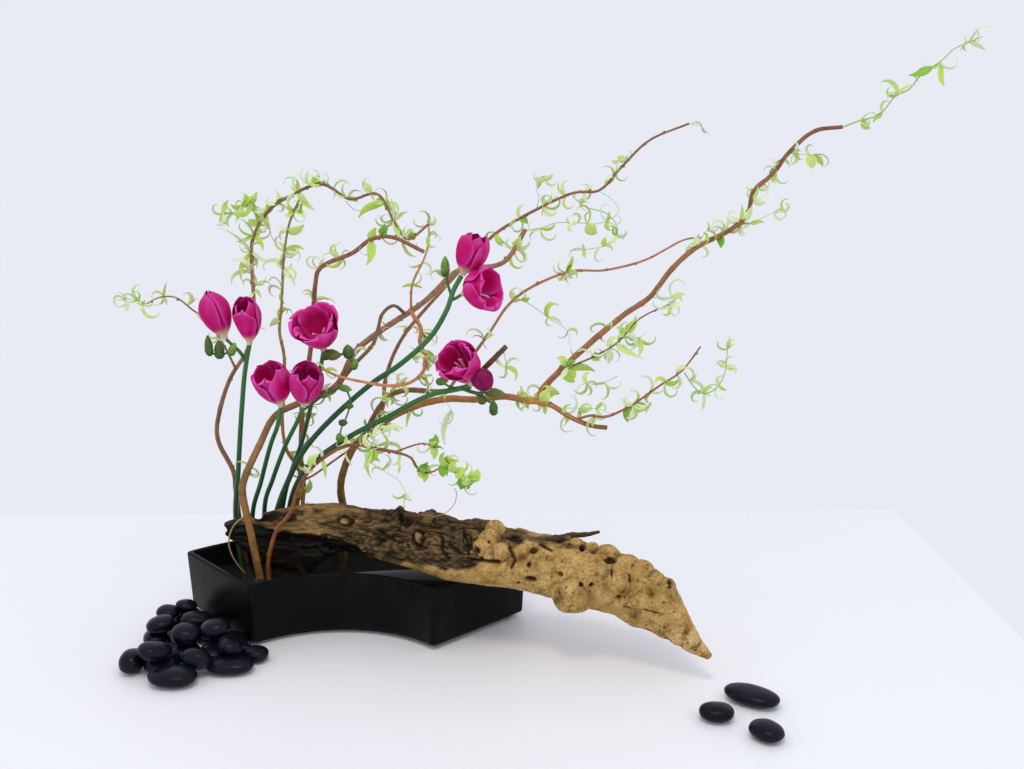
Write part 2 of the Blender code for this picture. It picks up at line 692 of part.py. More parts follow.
def make_shoots(branches):
    """Green shoots, each with leaves turned a golden angle apart and grown into its stem."""
    golden_turn = math.radians(137.5)
    for name, host, start, end, route, leaf_count, leaf_length in SHOOTS:
        path = curved_path(route)
        twig = tube_mesh(name, route, start, end, sides=4)
        way = (path[1] - path[0]).normalized()
        shift = seat_beyond(twig, way, finished_surface(branches[host]))
        shoot = add_piece(name, twig, "willow_leaf")
        leaves = bmesh.new()
        for i in range(leaf_count):
            spot = round((len(path) - 3) * (i + 0.8) / leaf_count)
            forward = (path[spot + 1] - path[spot]).normalized()
            outward = forward.orthogonal().normalized()
            outward.rotate(Matrix.Rotation(golden_turn * i, 3, forward))
            along = (outward + 0.7 * forward).normalized()
            add_leaf(leaves, path[spot] * MM, along, forward.cross(outward).normalized(),
                     leaf_length * MM)
        bmesh.ops.translate(leaves, vec=shift, verts=leaves.verts[:])
        leaf_tool = tool_object(name + "_leaves", mesh_of(leaves, name + "_leaves"))
        boolean(shoot, leaf_tool, "UNION")


# ---------------------------------------------------------------- pebbles

# Each pebble: x, y, length, width, thickness, its turn about the upright, its tilt.
# The first ones lie on the table, pushed up against the bowl and each other, nearest first.
PILE_FLOOR = (
    (-99, -91, 27, 27, 14, 0, 0),
    (-119, -72, 27, 27, 14, -45, 0),
    (-140, -52, 27, 28, 14, -45, 0),
    (-159, -36, 24, 26, 13, -45, 0),
    (-84, -106, 15, 13, 11, 0, 0),
    (-70, -115, 21, 20, 13, 0, 0),
    (-110, -118, 29, 26, 14, 20, 0),
    (-132, -104, 27, 27, 15, -40, 0),
    (-152, -84, 28, 29, 14, -45, 0),
    (-174, -65, 29, 26, 14, -60, 0),
    (-88, -141, 42, 26, 13, 4, 0),
    (-147, -129, 31, 27, 14, 0, 0),
    (-180, -94, 20, 26, 15, 20, 0),
    (-132, -157, 42, 29, 15, 0, 0),
    (-174, -135, 21, 28, 19, 0, 0),
)
# The others lie on them
PILE_TOP = (
    (-152, -140, 29, 24, 15, 25, 12),
    (-116, -140, 24, 26, 18, 70, 30),
    (-92, -120, 22, 24, 14, 30, 14),
    (-164, -88, 25, 22, 14, 20, -8),
    (-134, -110, 27, 26, 17, 0, 5),
    (-110, -103, 27, 25, 16, 10, -8),
    (-167, -58, 21, 20, 12, 0, 5),
    (-155, -42, 20, 18, 12, 20, 10),
    (-136, -70, 31, 22, 14, 20, 6),
)
PILE_HEART = (-105, -45)  # what the pebbles on the table are pushed towards
PUSH = 15 * MM  # how far from its stated place a pebble's push starts
LOOSE_PEBBLES = (
    (352, -168, 47, 27, 13, -30, 0),
    (320, -196, 28, 23, 13, -6, 0),
    (355, -223, 29, 24, 13, -50, 0),
)


def pebble_mesh(name, pebble, height):
    """A smooth flat stone, a little fuller at one end, with its middle at the height."""
    x, y, length, width, thickness, turn, tilt = pebble
    narrowing = 0.12  # from the middle to the ends
    shape = bmesh.new()
    bmesh.ops.create_uvsphere(shape, u_segments=8, v_segments=6, radius=1)
    for vertex in shape.verts:
        vertex.co.y *= 1 - narrowing * vertex.co.x
    size = Matrix.Diagonal((length * MM / 2, width * MM / 2, thickness * MM / 2, 1))
    leaning = Matrix.Rotation(math.radians(tilt), 4, "Y")
    turning = Matrix.Rotation(math.radians(turn), 4, "Z")
    place = Matrix.Translation((x * MM, y * MM, height)) @ turning @ leaning @ size
    bmesh.ops.transform(shape, matrix=place, verts=shape.verts[:])
    return mesh_of(shape, name)


def bring_up(mesh, way, reach, others):
    """Moves the mesh along the way, no further than the reach, until it all but touches."""
    step = Matrix.Translation(way * SEAT / 3)
    for _ in range(round(3 * reach / SEAT)):
        mesh.transform(step)
        if any(surface_of(mesh).overlap(other) for other in others):
            mesh.transform(step.inverted() @ step.inverted())
            return


def make_pebbles(bowl):
    around = [finished_surface(bowl)]

    def on_table(name, pebble):
        mesh = pebble_mesh(name, pebble, 0)
        lowest = min(vertex.co.z for vertex in mesh.vertices)
        mesh.transform(Matrix.Translation((0, 0, -lowest)))
        return mesh

    def finish(name, mesh):
        around.append(surface_of(mesh))
        add_piece(name, mesh, "pebble", sharp_angle=180)

    for number, pebble in enumerate(PILE_FLOOR, 1):
        name = f"pebble_{number:02d}"
        mesh = on_table(name, pebble)
        way = (Vector((*PILE_HEART, 0)) - Vector((*pebble[:2], 0))).normalized()
        mesh.transform(Matrix.Translation(-way * PUSH))
        bring_up(mesh, way, 2 * PUSH, around)
        finish(name, mesh)
    for number, pebble in enumerate(PILE_TOP, len(PILE_FLOOR) + 1):
        name = f"pebble_{number:02d}"
        mesh = pebble_mesh(name, pebble, RIM_HEIGHT)
        bring_up(mesh, Vector((0, 0, -1)), RIM_HEIGHT, around)
        finish(name, mesh)
    for number, pebble in enumerate(LOOSE_PEBBLES, 1):
        name = f"loose_pebble_{number}"
        finish(name, on_table(name, pebble))


# ---------------------------------------------------------------- the arrangement

def stem_feet():
    routes = [stems[0][2] for _, stems in WILLOW] + [stems[0][2] for stems, _ in FREESIAS]
    return [route[0][:2] for route in routes]


empty_scene()
arrangement = new_collection("ikebana_arrangement")
tools = new_collection("cutters")
materials = {name: new_material(name) for name in COLOURS}
bowl = make_bowl()
make_holder("pin_holder_left", LEFT_HOLDER, stem_feet())
make_holder("pin_holder_middle", MIDDLE_HOLDER, stem_feet())
make_driftwood()
willow = {name: make_stem(name, stems, "willow_bark") for name, stems in WILLOW}
make_florets(make_freesias())
make_shoots(willow)
make_pebbles(bowl)
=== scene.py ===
"""The looks of the ikebana arrangement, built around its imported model.

The frame's metres and axes hold throughout: +Z up, +X to the viewer's right, +Y away from the
viewer, the origin under the middle of the bowl. The tables of routes, places and sizes are
written in millimetres.
"""

import math
import random

import bmesh
import bpy
import numpy as np
from mathutils import Euler, Matrix, Vector, noise


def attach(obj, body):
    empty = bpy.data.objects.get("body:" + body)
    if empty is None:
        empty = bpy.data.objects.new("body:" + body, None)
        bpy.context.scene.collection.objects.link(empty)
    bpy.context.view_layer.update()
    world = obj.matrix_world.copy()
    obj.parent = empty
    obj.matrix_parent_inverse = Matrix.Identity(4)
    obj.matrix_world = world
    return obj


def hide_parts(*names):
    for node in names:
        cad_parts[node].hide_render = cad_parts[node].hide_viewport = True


MM = 0.001
SEAT = 0.3 * MM  # the gap between two modelled pieces that touch
FLOOR_HEIGHT = 9 * MM  # the top of the bowl's floor
STEM_FOOT = 17.6 * MM  # where the stems stand on the pin holders
UPRIGHT = 8  # how many millimetres of a stem stand upright there
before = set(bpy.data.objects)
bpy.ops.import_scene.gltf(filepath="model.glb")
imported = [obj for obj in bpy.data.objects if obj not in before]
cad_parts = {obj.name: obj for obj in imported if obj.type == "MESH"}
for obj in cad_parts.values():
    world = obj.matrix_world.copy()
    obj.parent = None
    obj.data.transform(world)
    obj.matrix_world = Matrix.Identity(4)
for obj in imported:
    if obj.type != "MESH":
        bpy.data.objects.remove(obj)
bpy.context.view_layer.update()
scene = bpy.context.scene


# ---------------------------------------------------------------- colours and materials

def srgb(red, green, blue):
    """A colour as the screen shows it, 0 to 255, as the renderer wants it."""
    return tuple(((c / 255 + 0.055) / 1.055) ** 2.4 if c > 10 else c / 255 / 12.92
                 for c in (red, green, blue))


class Shader:
    """A material under construction. Inputs take plain values or other nodes' outputs."""

    def __init__(self, name, **settings):
        self.material = bpy.data.materials.new(name)
        self.material.use_nodes = True
        self.tree = self.material.node_tree
        self.surface = self.tree.nodes["Principled BSDF"]
        self.place = self.tree.nodes.new("ShaderNodeTexCoord").outputs["Object"]
        for key, value in settings.items():
            self.set(self.surface, key.replace("_", " "), value)

    def set(self, node, key, value):
        """Gives an input a plain value, or links it to another node's output."""
        socket = node.inputs[key]
        if isinstance(value, bpy.types.NodeSocket):
            self.tree.links.new(value, socket)
        elif socket.type == "RGBA" and len(value) == 3:
            socket.default_value = (*value, 1)
        else:
            socket.default_value = value

    def node(self, kind, inputs, **properties):
        """A new node of this kind with its inputs and properties set."""
        node = self.tree.nodes.new("ShaderNode" + kind)
        for key, value in properties.items():
            setattr(node, key, value)
        for key, value in inputs.items():
            self.set(node, key, value)
        return node

    def stretched(self, along, turn=(0, 0, 0)):
        """The place on the object, scaled, for a texture with a grain."""
        inputs = {"Vector": self.place, "Scale": along, "Rotation": turn}
        return self.node("Mapping", inputs).outputs[0]

    def noise(self, scale, detail=4, roughness=0.6, place=None, distortion=0.0):
        """Cloudy values from 0 to 1; the scale is how many clouds there are to a metre."""
        inputs = {"Vector": place or self.place, "Scale": scale, "Detail": detail,
                  "Roughness": roughness, "Distortion": distortion}
        return self.node("TexNoise", inputs).outputs["Fac"]

    def cells(self, scale):
        """How far each place is from the nearest of many scattered points."""
        inputs = {"Vector": self.place, "Scale": scale}
        return self.node("TexVoronoi", inputs).outputs["Distance"]

    def ramp(self, value, *stops):
        """A colour ramp; each stop is its position and a grey level or a colour."""
        node = self.node("ValToRGB", {"Fac": value})
        elements = node.color_ramp.elements
        while len(elements) < len(stops):
            elements.new(0.5)
        for element, (position, colour) in zip(elements, stops):
            element.position = position
            colour = colour if isinstance(colour, tuple) else (colour,) * 3
            element.color = (*colour, 1)
        return node.outputs["Color"]

    def mix(self, share, first, second, blend="MIX"):
        """The first colour with a share of the second blended into it."""
        inputs = {0: share, 6: first, 7: second}
        return self.node("Mix", inputs, data_type="RGBA", blend_type=blend).outputs[2]

    def tint(self):
        """The colour that the mesh carries."""
        return self.node("Attribute", {}, attribute_name="tint").outputs["Color"]

    def soften_tint(self, texture, low, high, colour):
        """The mesh's colour, softly lit by another colour where the texture is high."""
        return self.mix(self.ramp(texture, low, high), self.tint(), colour, "SOFT_LIGHT")

    def roughen(self, texture, low, high):
        """Roughness that follows a texture between two stops."""
        self.set(self.surface, "Roughness", self.ramp(texture, low, high))

    def bump(self, height, strength, distance, normal=None):
        """Fine relief, on top of an earlier one if its normal is given."""
        inputs = {"Height": height, "Strength": strength, "Distance": distance}
        if normal:
            inputs["Normal"] = normal
        bumped = self.node("Bump", inputs).outputs[0]
        self.set(self.surface, "Normal", bumped)
        return bumped


def glaze_material():
    """Black satin glaze with a faint orange-peel surface."""
    shader = Shader("black_glaze", Specular_IOR_Level=0.06)
    shader.set(shader.surface, "Base Color", shader.ramp(
        shader.noise(60, 3), (0.3, srgb(10, 10, 11)), (0.75, srgb(20, 20, 20))))
    shader.roughen(shader.noise(25, 5), (0.3, 0.26), (0.8, 0.42))
    shader.bump(shader.noise(420, 2), 0.05, 0.0006)
    return shader.material


def water_material():
    """Still water over the dark glaze of the bowl."""
    shader = Shader("still_water", Base_Color=srgb(42, 42, 38), Roughness=0.03, IOR=1.33,
                    Specular_IOR_Level=0.3)
    shader.bump(shader.noise(14, 2), 0.08, 0.002)
    return shader.material


def pin_holder_material():
    """Dull, slightly uneven lead."""
    shader = Shader("dull_lead", Metallic=1.0, Base_Color=srgb(96, 92, 80))
    shader.roughen(shader.noise(90, 4), (0.3, 0.4), (0.8, 0.7))
    return shader.material


def bark_material():
    """Young willow bark: the mesh's colour with streaks, freckles and shallow wrinkles."""
    shader = Shader("willow_bark", Roughness=0.5, Specular_IOR_Level=0.35)
    streaks = shader.noise(130, 5, 0.65, distortion=0.4)
    colour = shader.soften_tint(streaks, (0.35, 0.0), (0.75, 1.0), srgb(255, 225, 190))
    freckles = shader.ramp(shader.cells(330), (0.12, 1.0), (0.22, 0.0))
    freckled = shader.ramp(shader.noise(70, 1), (0.5, 0.0), (0.62, 0.8))
    spots = shader.mix(1.0, freckles, freckled, "MULTIPLY")
    colour = shader.mix(spots, colour, srgb(196, 160, 120))
    shader.set(shader.surface, "Base Color", colour)
    shader.roughen(streaks, (0.3, 0.42), (0.8, 0.62))
    shader.bump(streaks, 0.35, 0.0006)
    return shader.material


def green_material():
    """Freesia stems and buds: smooth, with fine lengthwise veins."""
    shader = Shader("freesia_green", Roughness=0.42, Specular_IOR_Level=0.4,
                    Subsurface_Weight=0.08, Subsurface_Radius=(0.001, 0.002, 0.0005))
    veins = shader.noise(1, 4, 0.6, shader.stretched((420, 420, 30)))
    shader.set(shader.surface, "Base Color", shader.soften_tint(
        veins, (0.4, 0.0), (0.8, 0.7), srgb(205, 235, 170)))
    shader.bump(veins, 0.15, 0.0004)
    return shader.material


def leaf_material():
    """Fresh willow leaves, thin enough for light to glow through."""
    shader = Shader("willow_leaf", Roughness=0.45, Specular_IOR_Level=0.35,
                    Subsurface_Weight=0.1, Subsurface_Radius=(0.003, 0.004, 0.001))
    mottle = shader.noise(90, 1)
    shader.set(shader.surface, "Base Color", shader.soften_tint(
        mottle, (0.4, 0.0), (0.75, 0.5), srgb(225, 245, 180)))
    shader.bump(mottle, 0.1, 0.0003)
    return shader.material


def petal_material():
    """Freesia petals: the mesh's colour, finely streaked."""
    shader = Shader("freesia_petal", Roughness=0.55, Specular_IOR_Level=0.08,
                    Subsurface_Weight=0.25, Subsurface_Radius=(0.003, 0.0004, 0.0012),
                    Subsurface_Scale=0.5)
    streaks = shader.noise(300, 4, 0.7, distortion=1.5)
    shader.set(shader.surface, "Base Color", shader.soften_tint(
        streaks, (0.5, 0.0), (0.85, 0.5), srgb(255, 60, 200)))
    shader.bump(streaks, 0.25, 0.0005)
    return shader.material


def pebble_material():
    """Polished black stone with faint dark blue clouds."""
    shader = Shader("polished_pebble", Specular_IOR_Level=0.16)
    shader.set(shader.surface, "Base Color", shader.ramp(
        shader.noise(45, 4), (0.35, srgb(8, 9, 18)), (0.8, srgb(22, 25, 44))))
    shader.roughen(shader.noise(120, 4), (0.3, 0.22), (0.8, 0.42))
    shader.bump(shader.noise(300, 3), 0.12, 0.0005)
    return shader.material


def driftwood_material():
    """Weathered wood: the mesh's colour with a fine grain and small dark pores."""
    shader = Shader("driftwood", Specular_IOR_Level=0.2)
    grain = shader.noise(1, 6, 0.7, shader.stretched((60, 420, 420), (0, 0, 0.35)))
    fine = shader.noise(700, 4, 0.7)
    colour = shader.soften_tint(grain, (0.35, 0.0), (0.75, 0.5), srgb(255, 236, 205))
    colour = shader.mix(shader.ramp(fine, (0.35, 0.45), (0.55, 0.0)), colour,
                        srgb(90, 66, 40), "MULTIPLY")
    shader.set(shader.surface, "Base Color", colour)
    # The mask of the painted black shade on the hollow and the root end also makes them glossy, as
    # damp wood
    wet = shader.node("Attribute", {}, attribute_name="wet").outputs["Fac"]
    shader.roughen(wet, (0.0, 0.85), (1.0, 0.3))
    rough = shader.bump(grain, 0.5, 0.0014)
    shader.bump(fine, 0.45, 0.0007, rough)
    return shader.material


# ---------------------------------------------------------------- shapes

def smooth_path(route, step=1.5):
    """Points about a step apart along a smooth curve through the route, in metres."""
    points = [Vector(point) for point in route]
    ends = [2 * points[0] - points[1], *points, 2 * points[-1] - points[-2]]
    path = []
    for a, b, c, d in zip(ends, ends[1:], ends[2:], ends[3:]):
        count = max(2, round((c - b).length / step))
        for i in range(count):
            t = i / count
            path.append(0.5 * (2 * b + (c - a) * t + (2 * a - 5 * b + 4 * c - d) * t**2
                               + (3 * b - a - 3 * c + d) * t**3))
    return [point * MM for point in (*path, points[-1])]


def rooted(x, y):
    """The foot of a stem, which stands upright on a pin holder."""
    return [(x, y, STEM_FOOT / MM), (x, y, STEM_FOOT / MM + UPRIGHT)]


def axes_along(path):
    """The path's direction and two steady directions across it, at each point."""
    ahead = [(b - a).normalized() for a, b in zip(path, path[1:])]
    ahead.append(ahead[-1])
    side = ahead[0].orthogonal().normalized()
    axes = []
    for last, now in zip([ahead[0], *ahead], ahead):
        side = last.rotation_difference(now) @ side
        side = (side - side.dot(now) * now).normalized()
        axes.append((now, side, now.cross(side)))
    return axes


def spokes(side, other, count):
    """The turns of the points of a ring, and the directions from its middle to them."""
    turns = [math.tau * k / count for k in range(count)]
    return [(turn, side * math.cos(turn) + other * math.sin(turn)) for turn in turns]


def clamp(value):
    """The value, kept between 0 and 1."""
    return min(1, max(0, value))


def blend_colours(colours, share):
    """The colour at a share of the way along the colours."""
    spot = clamp(share) * (len(colours) - 1)
    first = min(int(spot), len(colours) - 2)
    return Vector(colours[first]).lerp(Vector(colours[first + 1]), spot - first)


def taper(start, end):
    """The radius of a tube that goes from one number of millimetres to another."""
    return lambda share, _: (start + (end - start) * share) * MM


def plain(colour):
    """One colour for all of a tube."""
    return lambda *_: colour


def add_object(name, data):
    """A new object in the scene."""
    item = bpy.data.objects.new(name, data)
    scene.collection.objects.link(item)
    return item


def finished_mesh(name, shape):
    """A mesh of the shape, with its faces turned outwards."""
    bmesh.ops.recalc_face_normals(shape, faces=shape.faces[:])
    mesh = bpy.data.meshes.new(name)
    shape.to_mesh(mesh)
    shape.free()
    return mesh


class Skin:
    """A mesh under construction, with a colour on each vertex."""

    def __init__(self):
        self.shape = bmesh.new()
        self.tint = self.shape.verts.layers.float_color.new("tint")

    def vertex(self, place, colour):
        """A new, coloured vertex."""
        vertex = self.shape.verts.new(place)
        vertex[self.tint] = (*colour, 1)
        return vertex

    def loft(self, rings, closed=True, caps=True):
        """Faces between neighbouring rings of vertices, and across the two ends."""
        for low, high in zip(rings, rings[1:]):
            for i in range(len(low) if closed else len(low) - 1):
                j = (i + 1) % len(low)
                self.shape.faces.new((low[i], low[j], high[j], high[i]))
        if caps:
            self.shape.faces.new(rings[0][::-1])
            self.shape.faces.new(rings[-1])

    def tube(self, path, radius_at, colour_at, sides, end_colour=None):
        """A round tube; radius_at and colour_at take the share of the way along and the turn."""
        rings = []
        last = len(path) - 1
        for i, (point, (_, side, other)) in enumerate(zip(path, axes_along(path))):
            rings.append([self.vertex(point + out * radius_at(i / last, turn),
                                      colour_at(i / last, turn))
                          for turn, out in spokes(side, other, sides)])
        self.loft(rings, caps=False)
        for ring, point in ((rings[0], path[0]), (rings[-1], path[-1])):
            colour = end_colour or ring[0][self.tint][:3]
            middle = self.vertex(point, colour)
            for i, vertex in enumerate(ring):
                self.shape.faces.new((vertex, ring[(i + 1) % sides], middle))

    def stand_on(self, height):
        """Raises whatever lies lower than this height up to it."""
        for vertex in self.shape.verts:
            vertex.co.z = max(vertex.co.z, height)

    def piece(self, name, material, slot, replaces=(), thickness=None, levels=0):
        """Shows the finished mesh as a piece of the arrangement."""
        show(name, finished_mesh(name, self.shape), material, replaces, thickness, levels)


def show(name, mesh, material, replaces=(), thickness=None, levels=0):
    """Puts the mesh into the scene as a piece of the arrangement.

    A piece can be made thicker, be smoothed by a few levels of subdivision, and stand for
    modelled pieces, which it then replaces.
    """
    piece = add_object(name, mesh)
    mesh.materials.clear()
    mesh.materials.append(material)
    mesh.shade_smooth()
    if levels:
        smoother = piece.modifiers.new("smoother", "SUBSURF")
        smoother.levels = smoother.render_levels = levels
    if thickness:
        thicker = piece.modifiers.new("thicker", "SOLIDIFY")
        thicker.thickness = thickness
        thicker.offset = 0
    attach(piece, "root")
    if replaces:
        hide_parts(*replaces)


# ---------------------------------------------------------------- bowl and water

# The bowl is a part of a ring whose centre lies in front of it
INNER_RADIUS = 115 * MM
OUTER_RADIUS = 230 * MM
HALF_ANGLE = math.radians(45)
ARC_CENTRE_Y = -(INNER_RADIUS + OUTER_RADIUS) / 2
RIM_HEIGHT = 60 * MM
WATER_HEIGHT = 40 * MM
WATER_DEPTH = 2 * MM  # only the top layer of the water is there
WATER_INSET = 5.9 * MM
CORNER_REACH = 4 * MM  # how far from a corner its rounding starts
ARC_STEPS, CORNER_STEPS = 60, 6
GLAZE_TINT, WATER_TINT = (20, 20, 18), (14, 14, 12)

# The wall in section, from the middle of the foot outwards, up, over the rim and down inside:
# how far in from the bowl's outline and how high
BOWL_PROFILE = (
    (10, 0), (9, 0.6), (9, 4), (4.6, 4), (3.4, 4.3), (2.5, 5), (2, 6.2), (1.0, 33), (0.1, 57.6),
    (0.2, 58.7), (0.7, 59.5), (1.6, 60), (3.3, 60), (4.3, 59.6), (4.9, 58.8), (5, 57.6),
    (6, 35), (6.9, 14), (7.4, 12), (8.4, 10.2), (10, 9.2), (13, 9),
)


def sector_ring(inset, height):
    """The bowl's outline moved in by the inset, with its four corners rounded."""

    def on_arc(radius, angle):
        return Vector((radius * math.sin(angle), ARC_CENTRE_Y + radius * math.cos(angle), height))

    def arc(radius, way):
        """The sharp corners at both ends of an arc, and the points between their roundings."""
        end = HALF_ANGLE - math.asin(inset / radius)
        trimmed = end - CORNER_REACH / radius
        angles = [way * trimmed * (2 * i / ARC_STEPS - 1) for i in range(ARC_STEPS + 1)]
        points = [on_arc(radius, angle) for angle in angles]
        return on_arc(radius, -way * end), points, on_arc(radius, way * end)

    def rounded_corner(before, corner, after):
        shares = [i / CORNER_STEPS for i in range(CORNER_STEPS + 1)]
        return [before.lerp(corner, t).lerp(corner.lerp(after, t), t) for t in shares]

    inner = arc(INNER_RADIUS + inset, 1)
    outer = arc(OUTER_RADIUS - inset, -1)
    ring = []
    for this, other in ((inner, outer), (outer, inner)):
        first, points, last = this
        arriving = (first - other[2]).normalized() * CORNER_REACH
        leaving = (other[0] - last).normalized() * CORNER_REACH
        ring += rounded_corner(first - arriving, first, points[0])
        ring += points[1:-1]
        ring += rounded_corner(points[-1], last, last + leaving)
    return ring


def make_bowl():
    """The suiban: a foot set in underneath, leaning walls and a soft, rounded rim."""
    skin = Skin()
    black = srgb(*GLAZE_TINT)
    skin.loft([[skin.vertex(point, black) for point in sector_ring(inset * MM, height * MM)]
               for inset, height in BOWL_PROFILE])
    skin.piece("glazed_bowl", glaze_material(), "bowl_glaze", ["suiban_bowl"])


def make_water():
    """Still water up to two thirds of the bowl's height."""
    skin = Skin()
    clear = srgb(*WATER_TINT)
    skin.loft([[skin.vertex(point, clear) for point in sector_ring(WATER_INSET, height)]
               for height in (WATER_HEIGHT - WATER_DEPTH, WATER_HEIGHT)])
    skin.piece("water", water_material(), None)


# ---------------------------------------------------------------- driftwood

# Sections of the log from left to right: centre x, y, z, half its depth, half its height
LOG_SECTIONS = (
    (-90, -3, 94, 4, 4),
    (-79, -4, 94, 8, 8),
    (-52, -8, 94, 12, 14),
    (-23, -12, 88, 19, 23),
    (26, -24, 87, 26, 23),
    (75, -42, 86, 30, 27),
    (99, -52, 83, 33, 28),
    (122, -60, 84, 34, 27),
    (167, -69, 80, 32, 25),
    (207, -78, 75, 31, 26),
    (251, -92, 67, 28, 26),
    (270, -101, 59, 25, 27),
    (282, -109, 53, 20, 22),
    (295, -118, 42, 13, 14),
    (308, -128, 31, 8, 8),
    (321, -137, 24, 3, 3),
)

# The same for the black root end that dips into the water below the log's left end
ROOT_SECTIONS = (
    (-126, -2, 80, 5, 7),
    (-118, -2, 77, 7, 10),
    (-106, -4, 70, 7, 12),
    (-90, -6, 62, 7, 17),
    (-70, -8, 58, 7, 19),
    (-48, -10, 61, 9, 20),
    (-25, -14, 74, 12, 16),
    (-5, -16, 82, 12, 14),
)

# Knots in the dark part and pale burls and lobes: centre and radius
LOG_KNOBS = (
    ((-3, -30, 101), 8.5),
    ((46, -34, 110), 7.5),
    ((77, -46, 109), 9.5),
    ((100, -55, 103), 8),
)
LOG_LOBES = (
    ((136, -68, 110), 8),
    ((132, -79, 105), 8.5),
    ((127, -85, 99), 8),
    ((142, -89, 96), 8.5),
    ((133, -90, 95), 6),
    ((168, -87, 88), 12.5),
    ((206, -100, 66), 19.5),
    ((217, -102, 76), 13),
    ((198, -100, 80), 11),
    ((209, -74, 96), 7.5),
    ((222, -80, 94), 7.5),
    ((235, -85, 90), 12),
    ((251, -92, 84), 13),
    ((264, -99, 82), 12),
    ((275, -105, 77), 10),
    ((285, -109, 74), 9),
    ((244, -108, 78), 13),
    ((262, -115, 68), 12),
    ((293, -121, 44), 7),
)

# Roots and splinters: route, start and end radius
LOG_STRANDS = (
    (((-124, -5, 82), (-113, -8, 88), (-100, -10, 91), (-87, -12, 90), (-73, -16, 87),
      (-50, -22, 86), (-26, -28, 86)), 5, 7),
    (((-122, -4, 78), (-104, -6, 80), (-84, -8, 80), (-60, -12, 80)), 6, 8),
    (((-56, -8, 56), (-51, -10, 42), (-48, -11, 28), (-47, -12, (FLOOR_HEIGHT + SEAT) / MM)),
     9, 6),
    (((20, -26, 106), (52, -38, 106), (84, -46, 105), (117, -52, 103), (137, -58, 103)), 6, 6),
    (((142, -62, 104), (152, -72, 103), (164, -77, 102), (177, -79, 101), (190, -77, 101),
      (202, -70, 100)), 7, 4.5),
    (((184, -92, 92), (190, -93, 95), (197, -89, 98), (204, -84, 99)), 5.5, 5.5),
)
# A dry twig that stands out of the log's right half
LOG_TWIG = ((182, -74, 101), (195, -70, 103), (206, -64, 103.5), (216, -61, 103), (223, -60, 104),
            (229, -60, 105.5))
# A pale rootlet that hangs off the log's left end into the bowl
LOG_ROOTLET = ((-94, -14, 94), (-101, -22, 100), (-110, -29, 93), (-114, -32, 80), (-112, -33, 68),
               (-106, -34, 57), (-99, -35, 49))

# Holes, knots and pits, painted dark inside as shade: centre, half width, half height, depth, and the
# height of their rim
LOG_HOLES = (
    ((122, -88, 98), 3, 3, 3.5, 1.2),
    ((132, -84, 105), 1.5, 1.3, 2, 0.5),
    ((171, -91, 99), 3.4, 1.5, 3, 0.5),
    ((167, -99, 89), 1.8, 2, 3, 0.6),
    ((169, -101, 77), 4.6, 2.4, 5, 0.5),
    ((158, -97, 72), 2, 1.2, 3, 0.3),
    ((213, -83, 99), 2.6, 1.6, 3, 0.5),
    ((237, -99, 94), 5, 1.8, 3.5, 0.5),
    ((238, -109, 87), 1.2, 3, 3, 0.4),
    ((253, -113, 84), 1.2, 3.4, 3, 0.4),
    ((195, -105, 85), 2.2, 2, 2.6, 0.8),
    ((212, -110, 78), 2.2, 2, 2.6, 0.9),
    ((221, -112, 78), 2, 1.8, 2.4, 0.8),
    ((244, -118, 70), 1.8, 1.6, 2.4, 0.6),
    ((287, -113, 81), 1.8, 1.6, 2.4, 0.6),
    ((287, -119, 78), 1.6, 1.4, 2.2, 0.5),
    ((204, -110, 68), 2, 1.6, 3, 0.8),
    ((56, -50, 108), 4.5, 3.4, 4, 0.4),
    ((-76, -7, 97), 12, 5.5, 4, 0),
    ((-59, -13, 98), 9, 4.6, 4, 0),
)

# Knots like a lens in a dark ring, a groove painted dark as shade: centre, half width, half height,
# depth of the ring
LOG_EYES = (
    ((-4, -37, 103), 5.5, 3.2, 2),
    ((67, -68, 100), 4, 4.6, 3),
    ((112, -80, 104), 3, 2.4, 1.6),
)

# Cracks, painted dark as shade: route, half width and depth
LOG_CRACKS = (
    (((-90, -14, 97), (-76, -18, 101), (-62, -22, 104), (-50, -25, 105)), 4.2, 5),
    (((113, -90, 91), (122, -93, 90), (131, -95, 90), (141, -95, 90)), 1.5, 3),
    (((147, -80, 108), (151, -90, 100), (155, -95, 92), (152, -97, 86)), 1.4, 2.6),
    (((29, -49, 100), (38, -55, 96), (45, -60, 94)), 1.2, 2),
    (((96, -79, 99), (101, -84, 97), (105, -86, 95)), 1.6, 2.6),
    (((84, -60, 106), (90, -74, 102), (89, -80, 95), (95, -86, 88)), 1.5, 2.6),
    (((50, -40, 112), (49, -50, 104), (53, -56, 98), (58, -64, 92)), 1.8, 3),
    (((72, -50, 110), (78, -62, 104), (79, -70, 96)), 1.3, 2.2),
    (((108, -70, 108), (113, -82, 102), (114, -88, 95)), 1.5, 2.6),
    (((249, -120, 61), (257, -122, 61), (265, -124, 61), (275, -127, 59), (286, -130, 57)), 0.7, 1.6),
    (((164, -76, 104), (178, -84, 101), (190, -92, 98)), 1.3, 2.4),
    (((-60, -14, 92), (-30, -26, 97), (-2, -42, 95), (18, -48, 93)), 0.9, 1.4),
    (((-50, -18, 84), (-24, -30, 88), (4, -46, 86), (24, -54, 85)), 1.1, 1.8),
    (((-30, -28, 79), (-8, -40, 80), (14, -50, 78), (30, -56, 77)), 1.3, 2),
    (((2, -30, 106), (14, -34, 105), (26, -38, 104)), 0.8, 1.4),
)

LOG_GRAIN = 1.1 * MM  # the size of the faces that the log is remeshed with
LOG_RING = 24  # the points of each of its sections
ROUGH_TINT = (0, 0, 0)  # for its rough shape, whose colours come later
LOG_TOP = 112  # the height of its top
GRAIN_TWIST = 0.004  # how far the grain winds round the log, in radians to a millimetre
SMOOTH_END = 2  # along X, where the streaked wood gives way to bark at the log's top
SMOOTH_SLANT = 1.2  # how much further left it does so for each millimetre down from there

